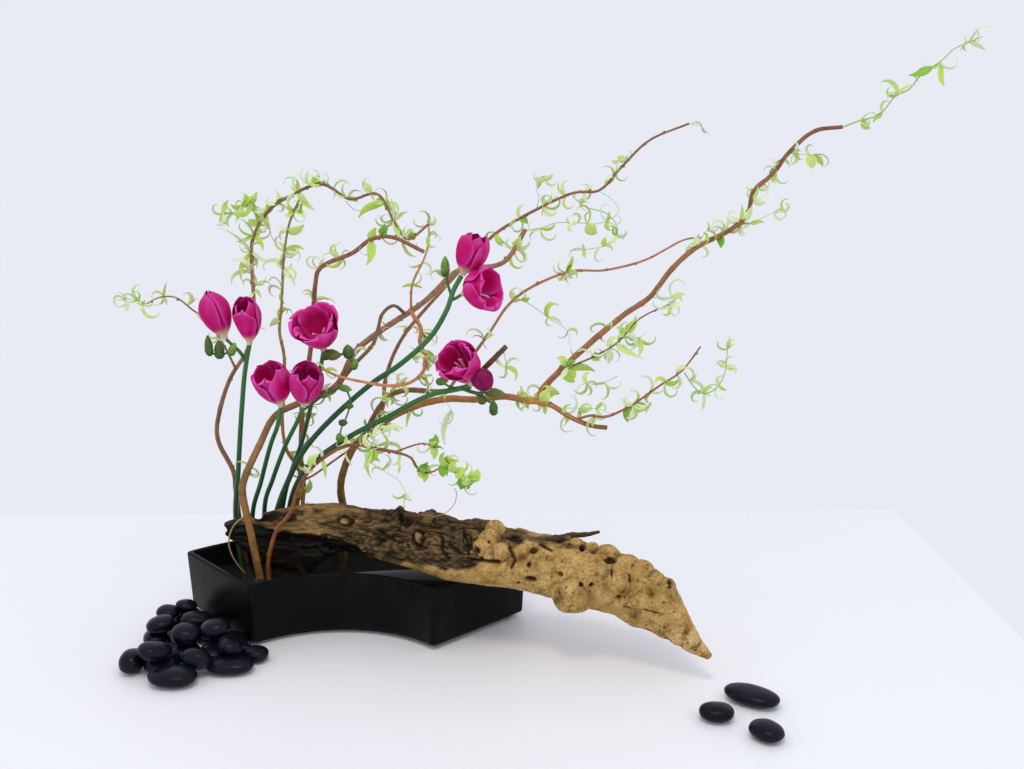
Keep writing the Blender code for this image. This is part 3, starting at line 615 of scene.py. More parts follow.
# The lower edge of the dark bark along X; the pale, porous wood lies below it
BARK_EDGE = (
    (30, 62), (52, 70), (75, 74), (104, 77), (120, 84), (134, 92), (150, 99), (166, 103),
    (190, 101), (215, 98), (227, 96), (232, 140),
)

# The upper edge of the dark hollow under the log's left half along X, and where that ends; below the
# edge the log is dented and painted near-black as shade
HOLLOW_EDGE = ((-95, 88), (-60, 89), (-26, 89), (-20, 84), (6, 84), (14, 76), (24, 60))
HOLLOW_END = 26
HOLLOW_DEPTH = 2.5

# How deep the relief of the porous wood is along X: the lobes on the left are smoother
POROUS_DEPTH = ((135, 0.4), (160, 1))

SHADED_DAMP_END = -104  # along X, left of which the root end is painted near-black as shade and glossy as damp wood
RESTING_SIDE = 20 * MM  # along X, right of which the log lies on the bowl's walls
END_MARGIN = 0.002  # how far past the bowl's ends its walls still carry, in radians
HOLE_REACH, EYE_REACH, STAIN_REACH = 7, 12, 10  # how far to the front and back these go
CRACK_DEPTH = 0.4  # how much distances from front to back count beside a crack's route


def elliptical_ring(skin, centre, along, half_depth, half_height):
    """A ring of points round a section of the log that faces along it."""
    across = along.cross(Vector((0, 0, 1))).normalized()
    upward = across.cross(along)
    turns = [math.tau * i / LOG_RING for i in range(LOG_RING)]
    return [skin.vertex(centre + across * half_depth * math.cos(turn)
                        + upward * half_height * math.sin(turn), ROUGH_TINT) for turn in turns]


def rough_log():
    """The log's sections, lobes and strands, melted into one fine mesh."""
    skin = Skin()
    for sections in (LOG_SECTIONS, ROOT_SECTIONS):
        centres = [Vector(section[:3]) * MM for section in sections]
        rings = []
        for i, (*_, half_depth, half_height) in enumerate(sections):
            along = centres[min(i + 1, len(centres) - 1)] - centres[max(i - 1, 0)]
            rings.append(elliptical_ring(skin, centres[i], along.normalized(),
                                         half_depth * MM, half_height * MM))
        skin.loft(rings)
    for centre, radius in LOG_KNOBS + LOG_LOBES:
        bmesh.ops.create_icosphere(skin.shape, subdivisions=3, radius=radius * MM,
                                   matrix=Matrix.Translation(Vector(centre) * MM))
    for route, start, end in LOG_STRANDS:
        skin.tube(smooth_path(route, 2), taper(start, end), plain(ROUGH_TINT), 14)
    mesh = finished_mesh("rough_log", skin.shape)
    rough = add_object("rough_log", mesh)
    melt = rough.modifiers.new("melt", "REMESH")
    melt.mode = "VOXEL"
    melt.voxel_size = LOG_GRAIN
    soften = rough.modifiers.new("soften", "SMOOTH")
    soften.iterations = 4
    depsgraph = bpy.context.evaluated_depsgraph_get()
    melted = bpy.data.meshes.new_from_object(rough.evaluated_get(depsgraph))
    bpy.data.objects.remove(rough)
    bpy.data.meshes.remove(mesh)
    return melted


def streaked_wood(place):
    """Height in millimetres, darkness and lightness of wood with a long grain; the darkness is
    painted shade in its crevices and low places.

    The place is how far it is along the log, and how far from its middle across and up.
    """
    s, across, up = place
    grain = noise.noise(Vector((s / 46, across / 5.2, up / 5.2)))
    fine = noise.noise(Vector((s / 22 + 7, across / 1.9, up / 1.9)))
    lump = noise.noise(Vector((s / 19, across / 13, up / 13 + 5)))
    crack = 1 - 2 * abs(noise.noise(Vector((s / 60 + 30, across / 8, up / 8))))
    crevice = max(0, crack - 0.84) / 0.16
    height = 1.1 * grain + 0.6 * fine + 1.3 * lump - 1.6 * crevice
    return height, 0.6 * crevice + 0.8 * max(0, -fine - 0.25), 0.9 * grain + 0.7 * fine


def dark_bark(place):
    """The same for chunky plates of bark, with black painted shade in the crevices between them and
    painted shade in its low places.
    """
    s, across, up = place
    warp = noise.noise(Vector((s / 12, across / 9, up / 9))) * 0.5
    near, cells = noise.voronoi(Vector((s / 27 + warp, across / 10 + warp, up / 10 - warp)))
    gap = max(0, 1 - (near[1] - near[0]) / 0.2)
    plate = noise.cell(cells[0] * 7.3)
    fine = noise.noise(Vector((s / 6, across / 1.7, up / 1.7)))
    coarse = noise.noise(Vector((s / 13, across / 4, up / 4 + 11)))
    finest = noise.noise(Vector((s / 2.6, across / 1.2, up / 1.2)))
    lump = noise.noise(Vector((s / 24, across / 15 + 3, up / 15)))
    height = 1.4 * (plate - 0.5) + 1.2 * coarse + 0.9 * fine + 0.5 * finest + 2.2 * lump
    height -= 1.4 * gap**1.5
    dark = 0.4 * gap + 0.8 * max(0, -coarse) + 0.5 * max(0, -lump) + 0.4 * max(0, -finest)
    return height, dark, 0.6 * coarse + 1.3 * fine + 0.4 * plate + 0.5 * finest


def porous_wood(place):
    """The same for pale, warty wood with scattered pits, with painted shade in its creases, pits and
    low places.
    """
    spot = Vector(place)
    near, _ = noise.voronoi(spot / 12)
    wart = math.sqrt(max(0, 1 - 1.4 * near[0] ** 2))
    patchy = clamp(0.5 + 1.6 * noise.noise(spot / 24))
    crease = max(0, 1 - (near[1] - near[0]) / 0.13) * patchy
    small, pits = noise.voronoi(spot / 5.5 + Vector((4, 0, 0)))
    pit = math.exp(-(small[0] / 0.17) ** 4) if noise.cell(pits[0] * 5.1) < 0.24 else 0
    grit = noise.noise(spot / 2.2)
    swell = noise.noise(spot / 9 + Vector((9, 0, 0)))
    height = 1.5 * wart * patchy + 0.9 * swell + 0.4 * grit - 0.8 * crease - 1.3 * pit
    return height, 0.4 * crease + 1.2 * pit + max(0, -swell - 0.3), 0.8 * swell + 0.7 * grit


def distance_to_route(places, route):
    """How far each place is from a route of straight runs, in millimetres.

    Distances from front to back count less, because the routes don't follow every dent.
    """
    nearest = np.full(len(places), np.inf)
    for start, end in zip(np.array(route[:-1], float), np.array(route[1:], float)):
        run = end - start
        share = np.clip((places - start) @ run / (run @ run), 0, 1)
        offset = places - start - share[:, None] * run
        nearest = np.minimum(nearest, np.linalg.norm(offset * (1, CRACK_DEPTH, 1), axis=1))
    return nearest


def lobe_gaps(places, lobes):
    """How far each place is outside the lobes, the nearest lobe first."""
    return np.sort([np.linalg.norm(places - np.array(centre, float), axis=1) - radius
                    for centre, radius in lobes], axis=0)


def oval_distance(places, centre, across, reach, upright):
    """How far each place is from the centre of an oval, where 1 is the oval's surface."""
    x, y, z = (places - np.array(centre, float)).T
    return np.sqrt((x / across) ** 2 + (z / upright) ** 2 + (y / reach) ** 2)


def carve_features(places, height, dark):
    """Adds the creases round the lobes, the holes and the cracks to the height, and painted shade in
    them to the darkness.
    """
    gaps = lobe_gaps(places, LOG_KNOBS + LOG_LOBES)
    foot = np.exp(-((gaps[0] - 1.4) / 1.0) ** 2)
    between = np.exp(-((gaps[1] - gaps[0]) / 1.1) ** 2) * (gaps[0] < 1.2)
    crease = np.maximum(foot * 0.35, between * 0.8)
    height -= 0.9 * crease
    dark += 0.5 * crease
    for centre, across, upright, deep, rim in LOG_HOLES:
        distance = oval_distance(places, centre, across, HOLE_REACH, upright)
        height += rim * np.exp(-((distance - 1.5) / 0.4) ** 2) - deep * np.exp(-distance**4)
        dark += 1.6 * np.exp(-(distance / 1.05) ** 6)
    for centre, across, upright, deep in LOG_EYES:
        distance = oval_distance(places, centre, across, EYE_REACH, upright)
        ring = np.exp(-((distance - 1.3) / 0.32) ** 2)
        height += 1.6 * np.exp(-distance**4) - deep * ring
        height += 1.5 * np.exp(-((distance - 2) / 0.4) ** 2)
        dark *= 1 - 0.9 * np.exp(-distance**4)
        dark += 1.0 * ring
    for route, width, deep in LOG_CRACKS:
        distance = distance_to_route(places, route) / width
        height -= deep * np.exp(-distance**2)
        dark += 1.4 * np.exp(-distance**4)


def places_and_normals(mesh):
    """The mesh's points in millimetres, and the directions that they face."""
    places, normals = np.empty(len(mesh.vertices) * 3), np.empty(len(mesh.vertices) * 3)
    mesh.vertices.foreach_get("co", places)
    mesh.vertices.foreach_get("normal", normals)
    return places.reshape(-1, 3) / MM, normals.reshape(-1, 3)


def wood_shares(places, ragged):
    """How much of the streaked wood, the bark and the porous wood each point has."""
    x, _, z = places.T
    edge = SMOOTH_END + SMOOTH_SLANT * (z - LOG_TOP)
    rough = np.clip((x + 16 * ragged - edge) / 14, 0, 1)
    above = np.clip((z + 5 * ragged - np.interp(x, *zip(*BARK_EDGE))) / 3, 0, 1)
    above *= np.clip(lobe_gaps(places, LOG_LOBES)[0] - 0.8, 0, 1)
    return np.stack([1 - rough, rough * above, rough * (1 - above)], 1)


def hollow_shade_share(places, ragged):
    """How far each point lies inside the hollow under the log, from 0 to 1, where it is painted
    near-black as shade.
    """
    x, _, z = places.T
    hollow = np.clip((np.interp(x, *zip(*HOLLOW_EDGE)) + 4 * ragged - z) / 2, 0, 1)
    return hollow * np.clip((HOLLOW_END - x) / 4, 0, 1)


def wood_relief(places, shares):
    """The height in millimetres, darkness and lightness of each point."""
    x, count = places[:, 0], len(places)
    centres = np.array([section[:3] for section in LOG_SECTIONS], float)
    steps = np.linalg.norm(np.diff(centres, axis=0), axis=1)
    along = np.interp(x, centres[:, 0], np.concatenate([[0], np.cumsum(steps)]))
    away = places - np.stack([np.interp(x, centres[:, 0], centres[:, k]) for k in range(3)], 1)
    depths = np.stack([np.ones(count), np.ones(count), np.interp(x, *zip(*POROUS_DEPTH))], 1)
    relief = np.zeros((3, count))
    for i in range(count):
        s, (_, across, up) = along[i], away[i]
        turn = GRAIN_TWIST * s
        grained = (s, across * math.cos(turn) - up * math.sin(turn),
                   across * math.sin(turn) + up * math.cos(turn))
        for share, depth, texture, place in zip(
                shares[i], depths[i], (streaked_wood, dark_bark, porous_wood),
                (grained, grained, places[i])):
            if share > 0.01:
                height, dark, light = texture(place)
                relief[:, i] += share * depth * height, share * depth * dark, share * light
    return relief


def seat_log(places):
    """Keeps the log just above the bowl's right-hand walls and its floor."""
    x, y = places[:, 0] * MM, places[:, 1] * MM - ARC_CENTRE_Y
    radius, angle = np.hypot(x, y), np.arctan2(x, y)
    over = ((radius > INNER_RADIUS - SEAT) & (radius < OUTER_RADIUS + SEAT)
            & (np.abs(angle) < HALF_ANGLE + END_MARGIN) & (x > RESTING_SIDE))
    places[over, 2] = np.maximum(places[over, 2], (RIM_HEIGHT + SEAT) / MM)
    places[:, 2] = np.maximum(places[:, 2], (FLOOR_HEIGHT + SEAT) / MM)


# The dark and the light shade of each kind of wood, the near-black painted shade of the hollow and
# the damp root end, and the brown painted shadow of crevices, holes, cracks and low places
STREAKED_SHADES = ((72, 56, 33), (172, 140, 90))
BARK_SHADES = ((44, 35, 22), (126, 103, 68))
POROUS_SHADES = ((146, 112, 58), (214, 178, 112))
DAMP_AND_SHADOW_BLACK, SHADOW_BROWN = (14, 12, 11), (17, 12, 8)

# Pale streaks and green stains: centre, how far they go along X and upright, colour
LOG_STAINS = (
    ((-76, -18, 92), 24, 3.5, (124, 90, 56)),
    ((-5, -37, 103), 5, 2.6, (204, 164, 104)),
    ((8, -40, 104), 6, 3, (150, 122, 60)),
    ((66, -68, 100), 3.4, 4.4, (186, 142, 94)),
    ((84, -66, 98), 8, 8, (128, 98, 60)),
    ((46, -45, 108), 5, 5, (120, 94, 66)),
    ((173, -100, 88), 6, 4, (140, 128, 76)),
    ((130, -90, 102), 14, 12, (196, 156, 108)),
    ((232, -112, 84), 16, 8, (200, 162, 112)),
    ((216, -112, 66), 10, 9, (146, 122, 70)),
    ((251, -119, 74), 9, 7, (140, 124, 76)),
    ((274, -120, 76), 8, 8, (132, 114, 70)),
    ((284, -126, 52), 12, 9, (186, 152, 98)),
    ((236, -112, 56), 26, 6, (170, 138, 84)),
    ((172, -70, 105), 2, 1.4, (168, 158, 138)),
    ((237, -100, 95), 4, 2, (164, 116, 70)),
    ((308, -132, 36), 24, 17, (222, 190, 134)),
)


def blend_towards(colours, shade, share):
    """Moves each of the colours a share of the way towards the shade, in place."""
    colours += (np.array(srgb(*shade)) - colours) * share[:, None]


def log_colours(places, shares, dark, light, hollow):
    """The colour of each point of the log, with its painted shade and shadow, and how far it is
    shaded and damp.
    """
    x = places[:, 0]
    brightness = np.clip(0.5 + 0.75 * light, 0, 1)[:, None]
    colours = np.zeros((len(x), 3))
    for share, (low, high) in zip(shares.T, (STREAKED_SHADES, BARK_SHADES, POROUS_SHADES)):
        low, high = np.array(srgb(*low)), np.array(srgb(*high))
        colours += share[:, None] * (low + (high - low) * brightness)
    for centre, across, upright, shade in LOG_STAINS:
        distance = oval_distance(places, centre, across, STAIN_REACH, upright)
        blend_towards(colours, shade, 0.75 * np.clip(1.1 - distance + 0.9 * light, 0, 1))
    # Painted shade: the hollow under the log's left half and the root end turn near-black
    wet = np.maximum(hollow, np.clip((SHADED_DAMP_END - x) / 6, 0, 1))
    blend_towards(colours, DAMP_AND_SHADOW_BLACK, 0.97 * wet)
    # Painted shadow: crevices, creases, holes, cracks and low places turn dark brown
    blend_towards(colours, SHADOW_BROWN, 0.92 * np.clip(dark, 0, 1))
    colours = np.clip(colours, 0.001, 1)
    return np.concatenate([colours, np.ones((len(x), 1))], 1), wet


def make_driftwood():
    """The log, with the relief and the colours of its three kinds of wood."""
    mesh = rough_log()
    places, normals = places_and_normals(mesh)
    ragged = np.array([noise.noise(Vector(place) / 11) for place in places])
    shares = wood_shares(places, ragged)
    hollow = hollow_shade_share(places, ragged)
    height, dark, light = wood_relief(places, shares)
    carve_features(places, height, dark)
    height -= HOLLOW_DEPTH * hollow
    places += normals * height[:, None]
    seat_log(places)
    mesh.vertices.foreach_set("co", (places * MM).ravel())
    colours, wet = log_colours(places, shares, dark, light, hollow)
    tint = mesh.attributes.new("tint", "FLOAT_COLOR", "POINT")
    tint.data.foreach_set("color", colours.ravel())
    mesh.attributes.new("wet", "FLOAT", "POINT").data.foreach_set("value", wet)
    wood = driftwood_material()
    show("weathered_driftwood", mesh, wood, ["driftwood"])
    make_twig(wood)


def make_twig(wood):
    """The dry twig that sticks out of the log's top, and a rootlet that hangs off its end."""
    brown, pale = Vector(srgb(78, 62, 46)), Vector(srgb(168, 146, 122))

    def twig_radius(share, turn):
        lump = noise.noise(Vector((share * 12, math.cos(turn), math.sin(turn))))
        return (4 - 2.6 * share) * MM * (1 + 0.3 * lump)

    def twig_colour(share, turn):
        return brown * (1 + 0.6 * noise.noise(Vector((share * 9, 2 * turn, 3))))

    skin = Skin()
    skin.tube(smooth_path(LOG_TWIG, 1), twig_radius, twig_colour, 12)
    skin.tube(smooth_path(LOG_ROOTLET), taper(0.9, 0.5),
              lambda share, _: pale * (1.05 - 0.35 * share), 8)
    skin.piece("driftwood_twig", wood, "driftwood_wood")


# ---------------------------------------------------------------- willow

# Each branch: its name, its main stem, then the twigs that grow from it.
# A stem is its start and end radius, then its route, all in millimetres.
WILLOW = (
    ("willow_arch", (
        (2.6, 1.1, (*rooted(-109, 10), (-115, 17, 60), (-120, 22, 109), (-122, 23, 131),
                    (-135, 24, 161), (-132, 24, 189), (-121, 30, 221), (-105, 36, 247),
                    (-98, 40, 277), (-99, 46, 320), (-98, 50, 350), (-81, 46, 377),
                    (-58, 38, 392), (-26, 26, 404), (2, 12, 392), (29, 2, 397),
                    (46, -6, 370), (57, -9, 359), (76, -14, 373))),
        (1.3, 0.7, ((-116, 31, 230), (-124, 24, 254), (-135, 14, 279), (-146, 6, 291),
                    (-158, 0, 303), (-170, -8, 305), (-181, -14, 300))),
    )),
    ("willow_upright", (
        (2.3, 1.0, (*rooted(-66, 7), (-53, 19, 113), (-59, 22, 135), (-69, 22, 154),
                    (-71, 20, 184), (-66, 16, 217), (-64, 10, 248), (-66, 6, 272),
                    (-61, 0, 302), (-56, -8, 339), (-48, -16, 371), (-37, -20, 394))),
    )),
    ("willow_thick", (
        (3.9, 2.3, (*rooted(-88, -25), (-89, -23, 42), (-94, -26, 83), (-99, -30, 125),
                    (-95, -30, 144), (-82, -24, 172), (-72, -6, 193), (-53, 2, 203),
                    (-33, 5, 210), (-14, 8, 222), (2, 12, 251), (25, 16, 270),
                    (66, 22, 297), (97, 30, 325), (131, 36, 329), (145, 40, 338),
                    (159, 44, 362))),
        (0.9, 1.3, ((74, -2, 375), (74, 0, 357), (69, 4, 340), (57, 10, 315),
                    (54, 20, 289))),
        (2.2, 1.0, ((54, 20, 289), (58, 8, 286), (65, 2, 276), (65, -6, 265),
                    (70, -14, 254), (70, -24, 243), (59, -32, 234), (41, -38, 232),
                    (20, -42, 236), (-2, -46, 242), (-17, -50, 250))),
        (2.0, 1.6, ((-12, 7, 223), (6, -2, 245), (21, -4, 261), (26, -2, 275),
                    (30, 2, 289), (40, 7, 296), (49, 19, 286))),
    )),
    ("willow_curved", (
        (3.2, 1.7, (*rooted(-79, 15), (-60, 27, 107), (-57, 28, 138), (-54, 25, 170),
                    (-51, 22, 202), (-44, 22, 236), (-38, 18, 270), (-32, 10, 314),
                    (-24, 4, 332), (6, -8, 346), (24, -18, 359), (45, -28, 363),
                    (74, -40, 352))),
    )),
    ("willow_main", (
        (4.0, 1.8, (*rooted(-20, 24), (-16, 27, 80), (-19, 28, 111), (-14, 26, 134),
                    (-1, 22, 159), (28, 14, 185), (61, 4, 203), (89, -6, 212),
                    (116, -14, 214), (143, -22, 219), (171, -28, 217), (179, -24, 230),
                    (214, -10, 262), (248, 2, 289), (273, 8, 306), (291, 14, 329),
                    (314, 20, 349), (344, 26, 364), (360, 30, 378), (365, 34, 398),
                    (382, 36, 414), (396, 38, 433), (417, 40, 451), (442, 40, 455))),
        (2.6, 2.0, ((166, -27, 217), (184, -34, 215), (201, -40, 206), (219, -46, 200),
                    (234, -50, 199))),
        (1.3, 0.7, ((207, -42, 204), (220, -50, 210), (234, -56, 211), (255, -64, 224),
                    (277, -72, 243), (295, -78, 258), (309, -84, 280))),
        (1.2, 0.7, ((179, -24, 230), (196, -30, 246), (224, -36, 261), (243, -38, 274),
                    (261, -40, 295), (289, -44, 310))),
        (2.1, 1.1, ((17, 17, 177), (25, 24, 196), (28, 32, 225), (44, 42, 261),
                    (82, 54, 305), (106, 58, 331), (127, 60, 353), (153, 62, 370),
                    (200, 60, 393), (227, 56, 397), (247, 50, 419), (271, 42, 443),
                    (305, 34, 458))),
        (1.6, 0.9, ((82, -4, 211), (91, 0, 221), (105, 8, 240), (127, 18, 270),
                    (143, 26, 293), (164, 34, 309), (200, 42, 323), (233, 46, 324),
                    (270, 50, 333), (304, 52, 351), (322, 52, 354))),
        (2.5, 2.6, ((7, 20, 168), (21, 8, 195), (36, -2, 214), (55, -10, 221),
                    (84, -22, 223), (111, -34, 232), (125, -42, 249), (145, -50, 271))),
    )),
    ("willow_front", (
        (2.4, 1.5, (*rooted(-78, -28), (-80, -25, 42), (-78, -28, 63), (-68, -34, 92),
                    (-53, -40, 112), (-42, -46, 140), (-27, -52, 161), (-5, -58, 178),
                    (12, -62, 184), (33, -66, 182), (52, -70, 180))),
        (0.9, 0.7, ((49, -69, 180), (63, -74, 187), (75, -78, 191), (85, -82, 189))),
        (1.2, 0.7, ((49, -69, 180), (62, -68, 175), (71, -68, 162), (82, -70, 163),
                    (92, -74, 171))),
        (1.1, 1.0, ((-39, -47, 145), (-29, -40, 149), (-9, -42, 164), (6, -50, 176),
                    (16, -62, 184))),
    )),
)

# The bark's colour along each stem of a branch, from its start to its end
BARK = {
    "willow_arch": (((92, 62, 40), (122, 88, 66), (140, 108, 88), (112, 80, 66), (136, 104, 84)),
                    ((130, 98, 78), (146, 116, 88))),
    "willow_upright": (((128, 78, 38), (160, 104, 56), (140, 132, 62), (128, 112, 70)),),
    "willow_thick": (((150, 112, 58), (122, 94, 52), (138, 106, 78), (144, 114, 88), (134, 100, 76)),
                     ((196, 166, 128), (178, 122, 92)),
                     ((172, 104, 74), (178, 118, 84), (190, 132, 98), (188, 106, 62)),
                     ((122, 96, 70), (112, 84, 62))),
    "willow_curved": (((128, 70, 40), (146, 88, 54), (134, 92, 66), (122, 82, 62)),),
    "willow_main": (((80, 66, 28), (118, 92, 42), (156, 112, 60), (148, 100, 62), (132, 92, 62),
                     (122, 88, 52), (118, 74, 52)),
                    ((170, 122, 62), (120, 84, 52)),
                    ((150, 96, 72), (140, 92, 66), (146, 100, 78)),
                    ((122, 92, 72), (110, 88, 70)),
                    ((132, 92, 62), (140, 98, 74), (122, 86, 66), (132, 92, 74)),
                    ((140, 104, 66), (146, 108, 72), (158, 110, 84), (160, 104, 80)),
                    ((116, 88, 62), (122, 90, 66), (84, 66, 52))),
    "willow_front": (((134, 88, 40), (128, 80, 42), (118, 72, 44), (116, 78, 52)),
                     ((130, 84, 56), (128, 90, 62)),
                     ((130, 84, 56), (118, 94, 56)),
                     ((126, 78, 50), (126, 78, 52))),
}
KNUCKLE_PITCH = (16, 30)  # the least and the most millimetres between a branch's knuckles
CUT_WOOD = (190, 165, 125)  # the colour of a branch's sawn ends
# A bud's outline: the share of its length, and of its radius there
BUD_PROFILE = ((0, 0.45), (0.2, 0.85), (0.45, 1), (0.7, 0.78), (0.88, 0.42), (1, 0.08))


def knuckles(draw, length):
    """Where the knuckles of a stem are, along its length in millimetres."""
    spots, spot = [], draw.uniform(*KNUCKLE_PITCH)
    while spot < length - 6:
        spots.append(spot)
        spot += draw.uniform(*KNUCKLE_PITCH)
    return spots


def add_branch(skin, stem, colours, draw, is_twig):
    """One stem with knuckles and small buds beside them; a twig also swells at its fork."""
    start, end, route = stem
    path = smooth_path(route, 1.2)
    length = sum((b - a).length for a, b in zip(path, path[1:])) / MM
    spots = knuckles(draw, length)
    phase = draw.uniform(0, 100)
    thin = 0.9 + 0.1 * draw.random()

    def radius_at(share, turn):
        along = share * length
        radius = start + (end - start) * share
        swell = sum(math.exp(-((along - spot) / 1.6) ** 2) for spot in spots)
        wave = noise.noise(Vector((along / 9, math.cos(turn) * 0.8 + phase, math.sin(turn) * 0.8)))
        ridge = noise.noise(Vector((along / 30 + phase, 2.2 * math.cos(turn), 2.2 * math.sin(turn))))
        fork = 0.5 * math.exp(-along / 2.5) if is_twig else 0
        return radius * MM * thin * (1 + 0.05 * swell + 0.1 * wave + 0.09 * ridge + fork)

    def colour_at(share, turn):
        along = share * length
        patch = noise.noise(Vector((along / 14, math.cos(turn) + phase, math.sin(turn))))
        dark = max(math.exp(-((along - spot) / 1.1) ** 2) for spot in spots) if spots else 0
        return blend_colours(colours, share) * (1 + 0.4 * patch) * (1 - 0.2 * dark)

    end_colour = blend_colours(colours, 1) * 0.7 if is_twig else Vector(srgb(*CUT_WOOD))
    skin.tube(path, radius_at, colour_at, 12 if start > 2 else 8, end_colour)
    axes = axes_along(path)
    for spot in spots:
        i = round(spot / length * (len(path) - 1))
        share = i / (len(path) - 1)
        turn = draw.uniform(0, math.tau)
        ahead, side, other = axes[i]
        out = side * math.cos(turn) + other * math.sin(turn)
        root = path[i] + out * radius_at(share, turn) * 0.7
        size = draw.uniform(1.6, 3.2) * MM
        add_bud(skin, root, (out * 0.7 + ahead).normalized(), size, size * 0.28,
                blend_colours(colours, share) * 0.75)


def add_bud(skin, root, way, length, radius, colour, tip_colour=None):
    """A pointed bud that grows from the root along the way."""
    foot_colour, tip_colour = Vector(colour), Vector(tip_colour or colour)
    side = way.orthogonal().normalized()
    other = way.cross(side)
    rings = []
    for share, spread in BUD_PROFILE:
        middle = root + way * length * share
        rings.append([skin.vertex(middle + out * radius * spread, foot_colour.lerp(tip_colour, share))
                      for _, out in spokes(side, other, 8)])
    skin.loft(rings)


def make_willow():
    """The curly willow branches: bark, knuckles and bud stumps."""
    bark = bark_material()
    for number, (name, stems) in enumerate(WILLOW):
        draw = random.Random(100 + number)
        skin = Skin()
        for stem, colours in zip(stems, BARK[name]):
            add_branch(skin, stem, [srgb(*colour) for colour in colours], draw,
                       stem is not stems[0])
        skin.stand_on(STEM_FOOT)
        skin.piece(name + "_bark", bark, "willow_bark", [name])


# ---------------------------------------------------------------- willow leaves

